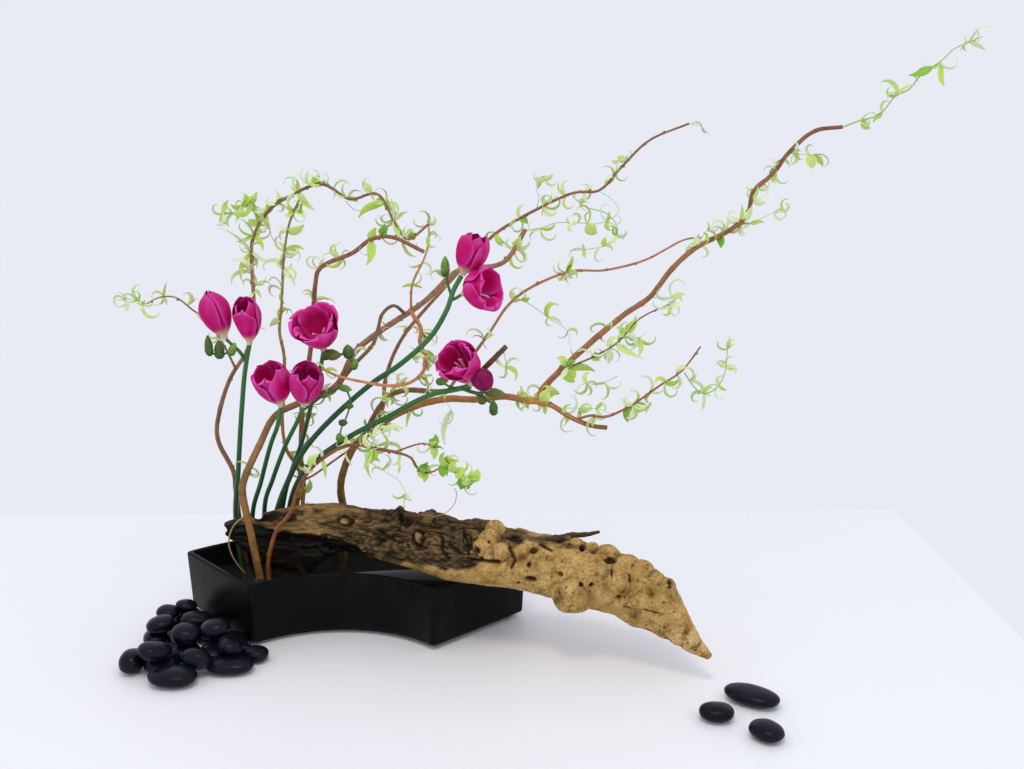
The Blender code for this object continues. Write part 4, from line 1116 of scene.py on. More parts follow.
# The tufts of leaves on each stem of a branch: how far along the stem, then each leaf's
# direction in degrees, anticlockwise from +X as the viewer sees it, its length and its width
TUFTS = {
    "willow_arch": (
        ((0.47, ((-10, 13, 5), (170, 9, 3))), (0.52, ((200, 14, 4), (150, 16, 3), (-60, 12, 5))),
         (0.55, ((170, 20, 4), (125, 14, 6), (-130, 24, 4), (20, 10, 4))),
         (0.58, ((-20, 24, 4), (-90, 18, 6), (100, 12, 2), (-95, 29, 5), (180, 8, 4), (150, 38, 4))),
         (0.61, ((120, 17, 3), (10, 18, 2), (145, 22, 3), (-70, 16, 5), (190, 18, 5))),
         (0.63, ((70, 13, 4), (-120, 12, 5), (130, 14, 3), (160, 13, 7))),
         (0.65, ((90, 12, 6), (-80, 15, 5), (150, 16, 3))),
         (0.68, ((40, 8, 5), (-40, 12, 3), (-30, 9, 4), (110, 14, 4), (170, 12, 5))),
         (0.72, ((-40, 22, 6), (60, 17, 2), (130, 10, 3), (-60, 14, 5), (100, 12, 7), (-100, 16, 4))),
         (0.75, ((40, 10, 7), (130, 12, 2), (80, 16, 2))), (0.77, ((100, 15, 3),)),
         (0.79, ((-110, 11, 2),)), (0.82, ((-30, 9, 5), (140, 15, 2))),
         (0.86, ((140, 12, 5), (-80, 8, 3))),
         (0.89, ((-140, 12, 8), (-70, 10, 5), (-140, 28, 7), (-70, 14, 3))),
         (0.92, ((100, 22, 5), (20, 15, 5), (-60, 16, 8))),
         (0.96, ((40, 8, 7), (100, 9, 5), (30, 8, 3)))),
        ((0.3, ((-40, 9, 4),)), (0.56, ((-70, 8, 3), (50, 9, 3))), (0.66, ((30, 11, 3), (120, 9, 3))),
         (0.86, ((180, 12, 4), (-90, 9, 3), (60, 18, 3)))),
    ),
    "willow_upright": (
        ((0.24, ((80, 14, 7), (140, 10, 6), (70, 11, 6), (-150, 9, 5))), (0.35, ((30, 9, 4),)),
         (0.55, ((20, 9, 3), (-160, 8, 3))), (0.7, ((-140, 12, 6),)), (0.77, ((-70, 12, 4),)),
         (0.82, ((-60, 18, 5), (-80, 11, 3), (-10, 9, 5), (60, 10, 2), (150, 14, 6))),
         (0.87, ((-10, 17, 4), (-130, 14, 5), (140, 10, 3), (-80, 13, 3), (40, 12, 4))),
         (0.92, ((30, 16, 8), (170, 9, 4))),
         (0.97, ((60, 11, 8), (100, 9, 5), (-40, 11, 6), (190, 9, 5)))),
    ),
    "willow_thick": (
        ((0.28, ((-20, 9, 4),)), (0.49, ((40, 11, 5), (30, 12, 5), (-80, 9, 3))),
         (0.65, ((10, 10, 5), (-30, 11, 4))), (0.81, ((190, 8, 4), (160, 14, 4))),
         (0.96, ((-30, 16, 3), (60, 13, 3), (40, 15, 6), (80, 12, 9), (150, 11, 4), (-100, 14, 4)))),
        ((0.03, ((80, 10, 4),)), (0.15, ((-80, 13, 2), (-60, 12, 3), (-20, 10, 3))),
         (0.45, ((180, 12, 3),)), (0.7, ((-30, 10, 4), (200, 10, 3)))),
        ((0.18, ((0, 12, 7), (-40, 18, 2))),
         (0.3, ((-60, 9, 5), (150, 9, 5), (-40, 12, 5), (-60, 15, 5), (-110, 12, 6))),
         (0.36, ((-40, 10, 5), (-160, 11, 4), (-70, 12, 6), (30, 9, 4))),
         (0.46, ((0, 12, 6), (-80, 9, 4))), (0.58, ((30, 10, 5), (-120, 9, 4))),
         (0.97, ((-30, 9, 4), (160, 12, 3)))),
        ((0.4, ((20, 10, 4),)),),
    ),
    "willow_curved": (
        ((0.28, ((10, 10, 7), (-70, 9, 4))), (0.32, ((-20, 13, 3),)),
         (0.4, ((-20, 14, 3), (0, 14, 6), (200, 9, 4))),
         (0.65, ((-20, 12, 2), (130, 8, 4), (-20, 20, 2), (170, 10, 3))),
         (0.73, ((40, 12, 3), (60, 10, 3))),
         (0.79, ((-130, 12, 2), (60, 13, 3), (80, 11, 3), (180, 14, 4), (-160, 17, 2))),
         (0.87, ((-110, 22, 8), (60, 12, 7))), (0.9, ((80, 12, 8), (40, 12, 7))),
         (0.95, ((-40, 20, 3),))),
    ),
    "willow_main": (
        ((0.2, ((60, 16, 7), (100, 13, 5), (160, 12, 5))),
         (0.24, ((10, 20, 4), (0, 22, 5), (-10, 17, 5), (-60, 12, 4), (80, 14, 7))),
         (0.26, ((50, 11, 5), (-100, 12, 7), (-40, 18, 3))), (0.3, ((-100, 19, 3), (-140, 15, 2))),
         (0.45, ((100, 12, 4), (60, 9, 5), (-60, 13, 6), (-60, 14, 6), (20, 12, 8), (-30, 12, 6))),
         (0.47, ((10, 13, 7), (-20, 11, 5), (60, 9, 3))), (0.49, ((-20, 17, 12), (60, 11, 8))),
         (0.55, ((180, 12, 2), (100, 10, 3))), (0.6, ((70, 8, 4), (-60, 11, 4))),
         (0.76, ((110, 12, 4), (80, 11, 6))), (0.79, ((-100, 12, 9), (110, 12, 3), (80, 18, 5))),
         (0.82, ((70, 18, 6), (-60, 10, 6), (-30, 10, 3), (100, 16, 6), (140, 10, 5))),
         (0.85, ((80, 14, 3), (0, 14, 6), (-20, 12, 5))), (0.87, ((150, 9, 2), (-40, 9, 2))),
         (0.9, ((80, 9, 5), (-80, 12, 5))), (0.93, ((-110, 14, 4), (-10, 10, 5), (110, 8, 3)))),
        ((0.2, ((60, 16, 10), (-100, 10, 6))), (0.5, ((-110, 12, 6), (40, 9, 4)))),
        ((0.15, ((20, 10, 6), (-130, 9, 2), (-30, 11, 3))),
         (0.42, ((180, 12, 4), (90, 11, 4), (-130, 14, 4), (-140, 17, 3), (-90, 18, 7), (-30, 10, 6),
                 (140, 11, 3), (10, 11, 5), (40, 12, 3), (-60, 14, 4))),
         (0.55, ((20, 12, 3), (-50, 11, 4))), (0.67, ((30, 12, 8), (-150, 8, 4))),
         (0.76, ((20, 10, 4),))),
        ((0.22, ((-90, 14, 8), (-60, 15, 12), (-20, 23, 7), (160, 14, 8), (40, 9, 8), (-110, 13, 5))),
         (0.37, ((0, 10, 7), (-10, 9, 4), (50, 9, 4))),
         (0.5, ((-80, 15, 6), (20, 11, 4), (60, 9, 3), (-100, 16, 6))), (0.55, ((-20, 28, 6),)),
         (0.65, ((70, 17, 6), (170, 10, 4), (-60, 11, 4), (-10, 9, 4), (-110, 15, 4), (40, 17, 3))),
         (0.97, ((10, 13, 5), (-160, 10, 4), (-40, 12, 3), (40, 14, 5)))),
        ((0.24, ((190, 15, 2),)), (0.45, ((110, 14, 3),)), (0.52, ((-50, 14, 5), (-40, 13, 6))),
         (0.58, ((50, 13, 4), (-110, 12, 4), (-40, 9, 7))),
         (0.64, ((70, 13, 5), (80, 9, 4), (20, 11, 4), (50, 15, 3), (-90, 10, 5))),
         (0.69, ((100, 14, 3), (60, 13, 3))), (0.73, ((30, 10, 3), (-60, 11, 4))),
         (0.78, ((60, 11, 4), (10, 10, 2))), (0.84, ((50, 9, 5), (160, 8, 3)))),
        ((0.23, ((100, 10, 3), (-60, 9, 3), (10, 10, 5))),
         (0.38, ((120, 9, 3), (110, 8, 3), (-10, 12, 7))),
         (0.56, ((20, 13, 5), (-60, 10, 3), (170, 12, 4), (-70, 12, 6), (-140, 11, 5), (40, 9, 7),
                 (80, 16, 6), (-30, 9, 6), (60, 12, 3)))),
        ((0.06, ((100, 9, 7), (30, 16, 5))), (0.16, ((30, 18, 3), (-70, 12, 4))),
         (0.3, ((-120, 14, 3), (-110, 10, 4), (40, 14, 4), (150, 9, 3), (-30, 10, 5), (140, 11, 5),
                (-130, 10, 5), (10, 13, 5), (-90, 15, 3)))),
    ),
    "willow_front": (
        ((0.64, ((50, 16, 9), (200, 9, 6))), (0.69, ((-90, 18, 4),)),
         (0.8, ((-70, 20, 4), (100, 12, 4))),
         (0.9, ((-110, 16, 9), (-120, 20, 8), (-50, 14, 8), (30, 9, 5), (-80, 28, 4), (-60, 27, 4),
                (60, 11, 4)))),
        ((0.9, ((80, 10, 8), (-90, 14, 7), (10, 9, 7), (-30, 12, 8))),),
        ((0.06, ((-100, 18, 5),)), (0.5, ((100, 14, 2), (40, 11, 10), (-80, 11, 9), (-20, 10, 8))),
         (0.95, ((70, 11, 9), (0, 9, 8), (-70, 11, 8)))),
        (),
    ),
}

# Green shoots: the branch they belong to, or the modelled shoot that they stand for, their
# radius, their route in millimetres, and their tufts as above
SHOOTS = (
    ("shoot_tip", 0.9,
     ((443, 40, 455), (455, 39, 460), (473, 37, 466), (485, 36, 481), (497, 35, 488), (507, 34, 501),
      (522, 32, 512), (532, 31, 522), (545, 28, 528), (553, 26, 532)),
     ((0.12, ((-30, 11, 7),)), (0.26, ((-110, 11, 8),)),
      (0.4, ((20, 17, 4), (110, 9, 3), (165, 18, 4))), (0.66, ((190, 21, 7), (60, 8, 3))),
      (0.72, ((-70, 21, 6),)),
      (0.92, ((100, 8, 2), (25, 18, 4), (-130, 12, 4), (-35, 15, 4), (25, 10, 3))))),
    ("shoot_left", 0.6,
     ((-182, -14, 300), (-188, -17, 303), (-193, -20, 302), (-198, -22, 305)),
     ((0.15, ((0, 16, 3), (60, 15, 3))), (0.5, ((20, 9, 5), (140, 16, 2), (80, 15, 2), (-60, 12, 2))),
      (0.95, ((190, 9, 5), (150, 10, 2), (-100, 10, 4))))),
    ("shoot_vine", 0.7,
     ((297, -77, 256), (306, -74, 243), (315, -70, 236), (326, -68, 241), (332, -70, 255),
      (333, -74, 279)),
     ((0.12, ((-100, 14, 4), (60, 8, 4))), (0.36, ((10, 8, 4), (-100, 15, 3))),
      (0.55, ((40, 8, 3), (-20, 8, 3))), (0.78, ((0, 9, 6), (160, 9, 5), (-60, 9, 4))),
      (0.97, ((100, 11, 5), (20, 8, 3))))),
    ("shoot_curl", 0.6,
     ((202, 59, 391), (215, 58, 381), (233, 54, 376), (244, 50, 363), (237, 46, 349), (219, 44, 344),
      (200, 46, 342)),
     ((0.1, ((-50, 9, 4), (40, 8, 5))), (0.56, ((80, 9, 5), (-150, 10, 5), (170, 9, 4))),
      (0.7, ((70, 9, 6), (-60, 8, 4))), (0.88, ((-70, 8, 4), (120, 8, 3))))),
    ("shoot_front", 0.6,
     ((93, -74, 171), (101, -76, 167), (108, -74, 157), (115, -72, 158)),
     ((0.1, ((100, 11, 8), (-100, 10, 10), (90, 14, 10), (50, 15, 3), (20, 12, 8))),
      (0.4, ((-60, 9, 9), (20, 10, 9), (100, 12, 8))),
      (0.7, ((-20, 10, 9), (80, 10, 10), (-110, 12, 8))),
      (0.97, ((60, 11, 10), (-80, 13, 2), (-120, 9, 9), (0, 10, 9))))),
    ("shoot_arch", 0.6,
     ((-83, 45, 378), (-92, 42, 377), (-102, 38, 383), (-112, 34, 376), (-121, 32, 377)),
     ((0.25, ((100, 9, 6), (30, 13, 5), (-90, 13, 6), (150, 11, 7))),
      (0.5, ((20, 14, 7), (50, 20, 7), (95, 12, 8), (-110, 17, 4), (160, 12, 6))),
      (0.75, ((30, 19, 6), (150, 9, 6), (-90, 14, 3))),
      (0.97, ((60, 13, 5), (200, 12, 3), (-50, 12, 3))))),
    ("willow_arch", 0.4, ((-81, 47, 366), (-80, 47, 357), (-77, 47, 349), (-68, 40, 341)), ()),
    ("willow_arch", 0.4, ((-2, 13, 390), (5, 12, 383), (14, 10, 381)), ()),
    ("willow_arch", 0.4, ((36, 0, 392), (41, 0, 388), (45, 0, 381)), ((0.95, ((100, 20, 5),)),)),
    ("willow_thick", 0.4,
     ((69, -24, 243), (78, -26, 226), (90, -27, 215), (97, -28, 203)),
     ((0.9, ((-90, 31, 5),)), (0.5, ((-60, 9, 4),)))),
    ("willow_thick", 0.4,
     ((66, -8, 262), (77, -16, 249), (84, -21, 248), (91, -24, 248)),
     ((0.5, ((30, 9, 5),)),)),
    ("willow_thick", 0.5,
     ((158, 44, 361), (173, 44, 363), (188, 44, 368), (207, 45, 368), (223, 46, 367), (237, 48, 371),
      (245, 50, 379), (238, 54, 389), (228, 60, 395)),
     ((0.12, ((40, 14, 4), (-110, 14, 3))), (0.42, ((-90, 9, 4),)), (0.5, ((-40, 13, 11),)),
      (0.66, ((70, 9, 6), (-50, 9, 4))))),
    ("willow_main", 0.4,
     ((143, -48, 266), (145, -48, 256), (144, -46, 248)),
     ((0.8, ((100, 16, 3), (-80, 13, 4))),)),
    ("willow_main", 0.4,
     ((169, 62, 380), (171, 62, 390), (169, 62, 397), (177, 60, 407)),
     ((0.6, ((120, 10, 3),)), (0.97, ((40, 9, 5), (20, 9, 4), (190, 9, 4))))),
    ("willow_main", 0.4,
     ((241, 50, 413), (242, 51, 419), (243, 51, 424)),
     ((0.95, ((60, 7, 6), (150, 6, 4))),)),
    ("willow_main", 0.35,
     ((304, 34, 458), (315, 33, 456), (319, 31, 452), (324, 30, 448)),
     ((0.5, ((-30, 8, 2),)),)),
    ("willow_main", 0.4,
     ((150, 28, 300), (160, 30, 296), (169, 32, 290), (184, 36, 278), (198, 30, 270), (201, 20, 258)),
     ((0.1, ((10, 9, 7),)), (0.5, ((60, 15, 5), (20, 14, 3), (-40, 14, 3))), (0.8, ((-60, 9, 3),)))),
    ("willow_main", 0.4,
     ((243, -38, 243), (231, -37, 237), (211, -35, 234), (206, -34, 223)),
     ((0.3, ((200, 12, 5),)), (0.6, ((-110, 12, 3), (40, 9, 4))))),
    ("willow_main", 0.4,
     ((190, -36, 213), (210, -38, 213), (227, -40, 213), (238, -42, 209)),
     ((0.4, ((20, 10, 6), (-100, 9, 4))), (0.7, ((-20, 11, 3), (60, 9, 3))))),
    ("willow_main", 0.4,
     ((274, 8, 305), (284, 4, 306), (293, -2, 307)),
     ((0.9, ((10, 12, 5), (-50, 9, 3))),)),
    ("willow_main", 0.4,
     ((242, -38, 278), (250, -36, 277), (261, -34, 277), (267, -33, 281)),
     ((0.7, ((40, 13, 3), (-100, 16, 5))), (0.3, ((30, 9, 3),)))),
    ("willow_main", 0.4,
     ((395, 38, 432), (406, 40, 431), (418, 41, 430)),
     ((0.3, ((-20, 9, 4),)), (0.95, ((-70, 12, 9), (-50, 17, 6), (-90, 11, 5))))),
    ("willow_main", 0.4,
     ((396, 38, 430), (387, 37, 421), (382, 36, 413)),
     ((0.5, ((-110, 12, 4),)), (0.9, ((-80, 9, 4),)))),
    ("willow_main", 0.4,
     ((357, 28, 368), (369, 28, 373), (382, 28, 379), (395, 28, 381)),
     ((0.15, ((-10, 13, 6),)), (0.7, ((-30, 10, 5),)), (0.97, ((50, 10, 3),)))),
    ("willow_main", 0.4,
     ((314, 20, 349), (320, 21, 360), (327, 22, 367), (340, 23, 366)),
     ((0.05, ((90, 9, 6), (190, 9, 5))), (0.5, ((110, 9, 3), (70, 9, 2))))),
    ("willow_front", 0.4,
     ((22, -64, 181), (23, -65, 172), (39, -66, 161), (51, -68, 154), (58, -69, 141)),
     ((0.45, ((60, 10, 4),)), (0.97, ((-80, 12, 6), (-40, 9, 4))))),
    ("willow_front", 0.4,
     ((27, -64, 184), (31, -65, 193), (37, -66, 197)),
     ((0.5, ((40, 15, 5),)), (0.97, ((0, 20, 5),)))),
    ("willow_front", 0.4,
     ((101, -76, 150), (103, -77, 146), (101, -78, 136), (93, -76, 127), (83, -72, 122),
      (75, -66, 121), (66, -62, 121)),
     ()),
)

# The colours of slim, broad and thread-like leaves, and of a shoot with and without leaves
LEAF_GREENS = ((208, 234, 136), (222, 242, 176), (196, 228, 108), (230, 246, 200))
BROAD_GREENS = ((190, 226, 104), (208, 234, 136), (132, 190, 62))
CURL_GREENS = ((208, 226, 168), (190, 216, 132), (224, 234, 192))
LEAFY_SHOOT, BARE_SHOOT = (158, 196, 122), (176, 128, 104)
LEAF_STEPS = 14
LEAF_FULLNESS = 0.52  # half of a leaf's width is this share of the width in the tables
LEAF_THICKNESS = 0.25 * MM


def add_leaf(skin, root, leaf, draw, curl=None):
    """A slim, folded willow blade that bends and twists on its way to a thin, hooked tip.

    The leaf is its direction in degrees, its length and its width. It bends by the curl in
    radians, or without one by as much as willow leaves usually do.
    """
    degrees, length, width = leaf
    turn = math.radians(degrees)
    way = Vector((math.cos(turn), draw.uniform(-0.45, 0.45), math.sin(turn))).normalized()
    curly = draw.random() < 0.5 and width < 5
    bend = curl or (draw.uniform(1.8, 3.6) if curly else draw.uniform(0.4, 1.6))
    bend *= draw.choice((-1, 1))
    # A bent leaf is made longer, so that it still reaches about as far as its length says
    stretch = min(1.9, abs(bend / 2) / math.sin(min(abs(bend) / 2, 1.7)))
    length, half = length * MM * stretch, width * MM * LEAF_FULLNESS
    axis = Vector((draw.uniform(-0.5, 0.5), -1, draw.uniform(-0.5, 0.5))).normalized()
    axis = (axis - axis.dot(way) * way).normalized()
    heading = Matrix.Rotation(-bend / 2, 3, axis) @ way
    face = Matrix.Rotation(draw.uniform(-1.1, 1.1), 3, way) @ axis
    twist = draw.uniform(-1.6, 1.6) / LEAF_STEPS
    greens = CURL_GREENS if curl else BROAD_GREENS if width > 6 else LEAF_GREENS
    green = Vector(srgb(*draw.choice(greens))) * draw.uniform(0.9, 1.1)
    point, rows = root.copy(), []
    for i in range(LEAF_STEPS + 1):
        share = i / LEAF_STEPS
        spread = half * max(0.12, math.sin(math.pi * min(1, share * 0.93 + 0.05) ** 0.8)) ** 0.9
        across = heading.cross(face).normalized()
        fold = face * spread * 0.45
        tone = green * (1.06 - 0.2 * abs(share - 0.6))
        rows.append([skin.vertex(point - across * spread + fold, tone),
                     skin.vertex(point, green * 0.9),
                     skin.vertex(point + across * spread + fold, tone)])
        point = point + heading * length / LEAF_STEPS
        turning = Matrix.Rotation(bend / LEAF_STEPS * (0.4 + 1.2 * share), 3, axis)
        heading = (turning @ heading).normalized()
        face = Matrix.Rotation(twist, 3, heading) @ (turning @ face)
        face = (face - face.dot(heading) * heading).normalized()
    skin.loft(rows, closed=False, caps=False)


def add_tufts(skin, route, tufts, draw):
    """The leaves of a stem, with one or two thread-like, curly ones in each tuft."""
    path = smooth_path(route)
    for share, leaves in tufts:
        root = path[round(share * (len(path) - 1))]
        for leaf in leaves:
            add_leaf(skin, root, leaf, draw)
        for _ in range(draw.choice((1, 1, 2, 2))):
            thread = (draw.uniform(0, 360), draw.uniform(7, 16), draw.uniform(1.6, 2.8))
            add_leaf(skin, root, thread, draw, draw.uniform(2.6, 5))


def add_shoot(skin, twigs, shoot, draw):
    """A thin shoot, which goes into the twigs, and its leaves, which go into the skin."""
    _, radius, route, tufts = shoot
    colour = Vector(srgb(*(LEAFY_SHOOT if tufts else BARE_SHOOT)))
    twigs.tube(smooth_path(route), taper(radius, radius / 2), plain(colour), 6)
    add_tufts(skin, route, tufts, draw)


def make_leaves():
    """A piece of leaves for each branch and modelled shoot, and one of its thin shoots."""
    blade = leaf_material()
    owners = [name for name, _ in WILLOW] + [shoot[0] for shoot in SHOOTS if "shoot" in shoot[0]]
    for number, owner in enumerate(owners):
        draw = random.Random(400 + number)
        skin, twigs = Skin(), Skin()
        for name, stems in WILLOW:
            if name == owner:
                for (_, _, route), tufts in zip(stems, TUFTS[name]):
                    add_tufts(skin, route, tufts, draw)
        for shoot in SHOOTS:
            if shoot[0] == owner:
                add_shoot(skin, twigs, shoot, draw)
        skin.piece(owner + "_leaves", blade, "willow_leaves",
                   [owner] if owner.startswith("shoot") else (), thickness=LEAF_THICKNESS)
        if len(twigs.shape.verts):
            twigs.piece(owner + "_tendrils", blade, "willow_leaves")
        else:
            twigs.shape.free()


# ---------------------------------------------------------------- freesias

# Each freesia: its stem and side stems as above, then its buds as centre and full size
FREESIAS = (
    ((
        (2.7, 2.2, (*rooted(-112, 3), (-119, 13, 86), (-113, 10, 136), (-106, 4, 187),
                    (-99, -4, 227), (-94, -9, 248), (-90, -12, 262))),
        (1.8, 1.5, ((-95, -8, 245), (-99, -11, 255), (-105, -13, 262), (-110, -15, 268))),
        (1.2, 0.9, ((-103, -12, 259), (-109, -15, 256), (-118, -16, 253), (-125, -17, 257))),
    ), (
        ((-126, -17, 263), (8, 8, 18)),
        ((-117, -15, 259), (10, 10, 16)),
        ((-105, -13, 259), (8, 8, 12)),
    )),
    ((
        (2.4, 2.1, (*rooted(-102, 12), (-103, 14, 87), (-91, 6, 125), (-77, -6, 165),
                    (-67, -16, 187), (-61, -24, 207))),
    ), ()),
    ((
        (2.4, 2.1, (*rooted(-91, 14), (-91, 14, 94), (-79, 6, 129), (-63, -6, 165),
                    (-49, -18, 190), (-40, -26, 208))),
        (1.2, 0.7, ((-43, -23, 203), (-32, -26, 211), (-22, -28, 219), (-11, -30, 225),
                    (-1, -30, 227), (4, -30, 215), (0, -30, 201), (-5, -30, 190),
                    (-7, -30, 180))),
    ), (
        ((-20, -28, 221), (11, 8, 7)),
        ((0, -30, 227), (12, 7, 7)),
        ((3, -30, 211), (8, 6, 7)),
        ((-3, -30, 195), (8, 6, 7)),
        ((-7, -30, 181), (8, 6, 9)),
    )),
    ((
        (2.3, 2.0, (*rooted(-86, 8), (-72, 16, 104), (-62, 13, 136), (-49, 5, 168),
                    (-35, -10, 210), (-26, -18, 236), (-20, -24, 259))),
        (1.4, 1.0, ((-22, -22, 252), (-11, -25, 254), (-1, -26, 258), (6, -26, 251))),
    ), (
        ((-11, -26, 257), (16, 9, 11)),
        ((3, -27, 261), (11, 10, 12)),
        ((8, -26, 249), (8, 8, 10)),
    )),
    ((
        (2.9, 2.3, (*rooted(-92, 4), (-79, 8, 90), (-62, 3, 132), (-44, -6, 163),
                    (-17, -14, 194), (21, -24, 229), (50, -30, 250), (77, -34, 275),
                    (92, -36, 299), (99, -38, 318), (106, -39, 331))),
        (1.3, 1.0, ((97, -37, 313), (94, -38, 324), (93, -39, 336))),
        (1.6, 1.5, ((96, -37, 309), (102, -39, 312), (106, -41, 315))),
    ), (
        ((92, -39, 340), (8, 8, 17)),
    )),
    ((
        (2.9, 2.2, (*rooted(-73, 9), (-66, 12, 97), (-50, 1, 135), (-30, -8, 156),
                    (3, -22, 181), (39, -30, 202), (71, -36, 221), (97, -42, 230),
                    (114, -46, 234))),
        (1.8, 1.5, ((106, -45, 232), (119, -49, 229), (129, -52, 231))),
        (1.2, 1.0, ((117, -48, 229), (127, -49, 223), (134, -48, 219))),
        (1.1, 0.9, ((102, -43, 231), (94, -48, 235), (90, -50, 239))),
    ), (
        ((136, -52, 230), (18, 9, 9)),
        ((134, -48, 216), (8, 8, 14)),
        ((124, -49, 224), (8, 8, 9)),
        ((90, -50, 240), (11, 7, 8)),
    )),
)

# Each floret: the freesia it grows on, its foot, the middle of its mouth, its full width, how
# open it is, from 0 for a closed bud to 1 for an open cup, how far it nods to the viewer in
# degrees, and how dark it is from 0 to 1
FLORETS = (
    (1, (-110.5, -15.3, 269), (-123, -22, 314), 29, 0.0, 0, 0.15),
    (1, (-89.6, -12.4, 263), (-87, -20, 313), 26, 0.28, 20, 0),
    (4, (-19.7, -24.5, 260), (-24, -37, 303), 39, 1.0, 24, 0),
    (2, (-60.7, -24.8, 208), (-69, -34, 255), 35, 0.5, 18, 0),
    (3, (-39.6, -26.8, 209), (-29, -43, 255), 32, 0.45, 14, 0.05),
    (5, (107, -39.4, 332), (123, -42, 369), 30, 0.3, 6, 0.1),
    (5, (107, -41.4, 315.6), (138, -55, 327), 38, 0.9, 14, 0),
    (6, (115, -47, 235.3), (100, -60, 280), 34, 0.85, 34, 0),
    (6, (130, -52.5, 232), (121, -63, 253), 20, 0.0, 0, 0.7),
)

# The colours of a freesia's main stem from its foot up; its side stems have the last two
STEM_COLOURS = ((34, 58, 28), (28, 74, 40), (34, 92, 48), (66, 118, 58))
STEM_FULLNESS = 0.97  # makes up for the bumps, which go outwards too
# The foot and the tip of an unopened bud, and the foot of the bracts round it
BUD_SHADES = (
    ((74, 112, 34), (152, 184, 70)),
    ((50, 90, 34), (120, 158, 58)),
    ((64, 68, 22), (116, 120, 44)),
    ((40, 64, 28), (84, 116, 46)),
)
BRACT_SHADE = (30, 60, 26)


def make_freesias():
    """Smooth green stems and the unopened buds that sit along them in two rows."""
    green = green_material()
    colours = [srgb(*colour) for colour in STEM_COLOURS]
    for number, (stems, buds) in enumerate(FREESIAS, 1):
        draw = random.Random(200 + number)
        skin = Skin()
        for stem in stems:
            add_green_stem(skin, stem, colours if stem is stems[0] else colours[2:], draw)
        for centre, size in buds:
            add_green_bud(skin, Vector(centre) * MM, Vector(size) * MM, draw)
        skin.stand_on(STEM_FOOT)
        name = f"freesia_stem_{number}"
        skin.piece(name + "_green", green, "freesia_green", [name])


def add_green_stem(skin, stem, colours, draw):
    """A smooth stem with a slightly uneven radius and patches of lighter green."""
    start, end, route = stem
    phase = draw.uniform(0, 50)

    def radius_at(share, turn):
        wave = noise.noise(Vector((share * 9 + phase, math.cos(turn), math.sin(turn))))
        return (start + (end - start) * share) * MM * STEM_FULLNESS * (1 + 0.05 * wave)

    def colour_at(share, turn):
        patch = noise.noise(Vector((share * 12 + phase, math.cos(turn), math.sin(turn))))
        return blend_colours(colours, share) * (1 + 0.3 * patch)

    skin.tube(smooth_path(route, 2), radius_at, colour_at, 12)


def add_green_bud(skin, centre, size, draw):
    """A plump bud along its longest side, wrapped by two bracts at its foot."""
    longest = max(range(3), key=lambda k: size[k])
    way = Vector((0, 0, 0))
    way[longest] = 1
    way = (way + Vector([draw.uniform(-0.3, 0.3) for _ in range(3)])).normalized()
    length = size[longest]
    radius = sorted(size)[1] * 0.5
    foot, tip = draw.choice(BUD_SHADES)
    add_bud(skin, centre - way * length / 2, way, length, radius, srgb(*foot), srgb(*tip))
    for side in (-1, 1):
        slant = (way + Vector((0.18 * side, -0.12, 0.1))).normalized()
        add_bud(skin, centre - way * length * 0.55, slant, length * draw.uniform(0.5, 0.75),
                radius * 0.86, srgb(*BRACT_SHADE), srgb(*tip))


# ---------------------------------------------------------------- florets

PETAL_ROWS, PETAL_COLUMNS = 20, 12
PETAL_THICKNESS = 0.45 * MM
TUBE_RADIUS = 2.4 * MM
TUBE_TOP, CUP_TOP = 0.08, 0.6  # the shares of a floret's height where its tube and its cup end
PETAL_CREAM, PETAL_DEEP, PETAL_MAGENTA, PETAL_RIM_AND_HIGHLIGHT, PETAL_PURPLE = (
    Vector(srgb(*colour)) for colour in (
        (226, 206, 168), (180, 0, 94), (208, 0, 114), (234, 100, 200), (74, 10, 44)))
THREAD_COLOUR = (240, 196, 206)


def make_florets():
    """The flowers: two whorls of three petals, with pale threads in the open ones."""
    petals = petal_material()
    for number, (_, foot, mouth, width, opening, nod, dark) in enumerate(FLORETS, 1):
        draw = random.Random(300 + number)
        foot, mouth = Vector(foot) * MM, Vector(mouth) * MM
        length = (mouth - foot).length
        bend = nodding(foot, mouth, math.radians(nod))
        skin = Skin()
        for whorl in (0, 1):
            for petal in range(3):
                turn = math.tau * (petal / 3 + whorl / 6) + 1.1 * number
                add_petal(skin, bend, length, width * MM / 2, opening, turn, whorl, dark, draw)
        if opening > 0.3:
            add_threads(skin, bend, length, width * MM / 2, draw)
        name = f"floret_{number}"
        skin.piece(name + "_petals", petals, "freesia_petals", [name],
                   thickness=PETAL_THICKNESS, levels=1)


def nodding(foot, mouth, nod):
    """Finds the places of a floret's points, turned to the viewer more and more further up.

    The points are given in the floret's own frame, with its axis along Z, and each comes with
    the share of the height that it is at.
    """
    way = (mouth - foot).normalized()
    place = Matrix.Translation(foot) @ way.to_track_quat("Z", "Y").to_matrix().to_4x4()
    pivot = foot + way * (mouth - foot).length * 0.3

    def bend(point, height):
        turn = Matrix.Rotation(nod * clamp((height - 0.1) / 0.6), 3, "X")
        return pivot + turn @ (place @ point - pivot)

    return bend


def cup_radius(height, widest, mouth):
    """How far a petal stands from the floret's axis at a share of its height."""
    if height < TUBE_TOP:
        return TUBE_RADIUS
    if height < CUP_TOP:
        rise = math.sin((height - TUBE_TOP) / (CUP_TOP - TUBE_TOP) * math.pi / 2)
        return TUBE_RADIUS + (widest - TUBE_RADIUS) * rise**0.66
    return widest + (mouth - widest) * ((height - CUP_TOP) / (1 - CUP_TOP)) ** 2


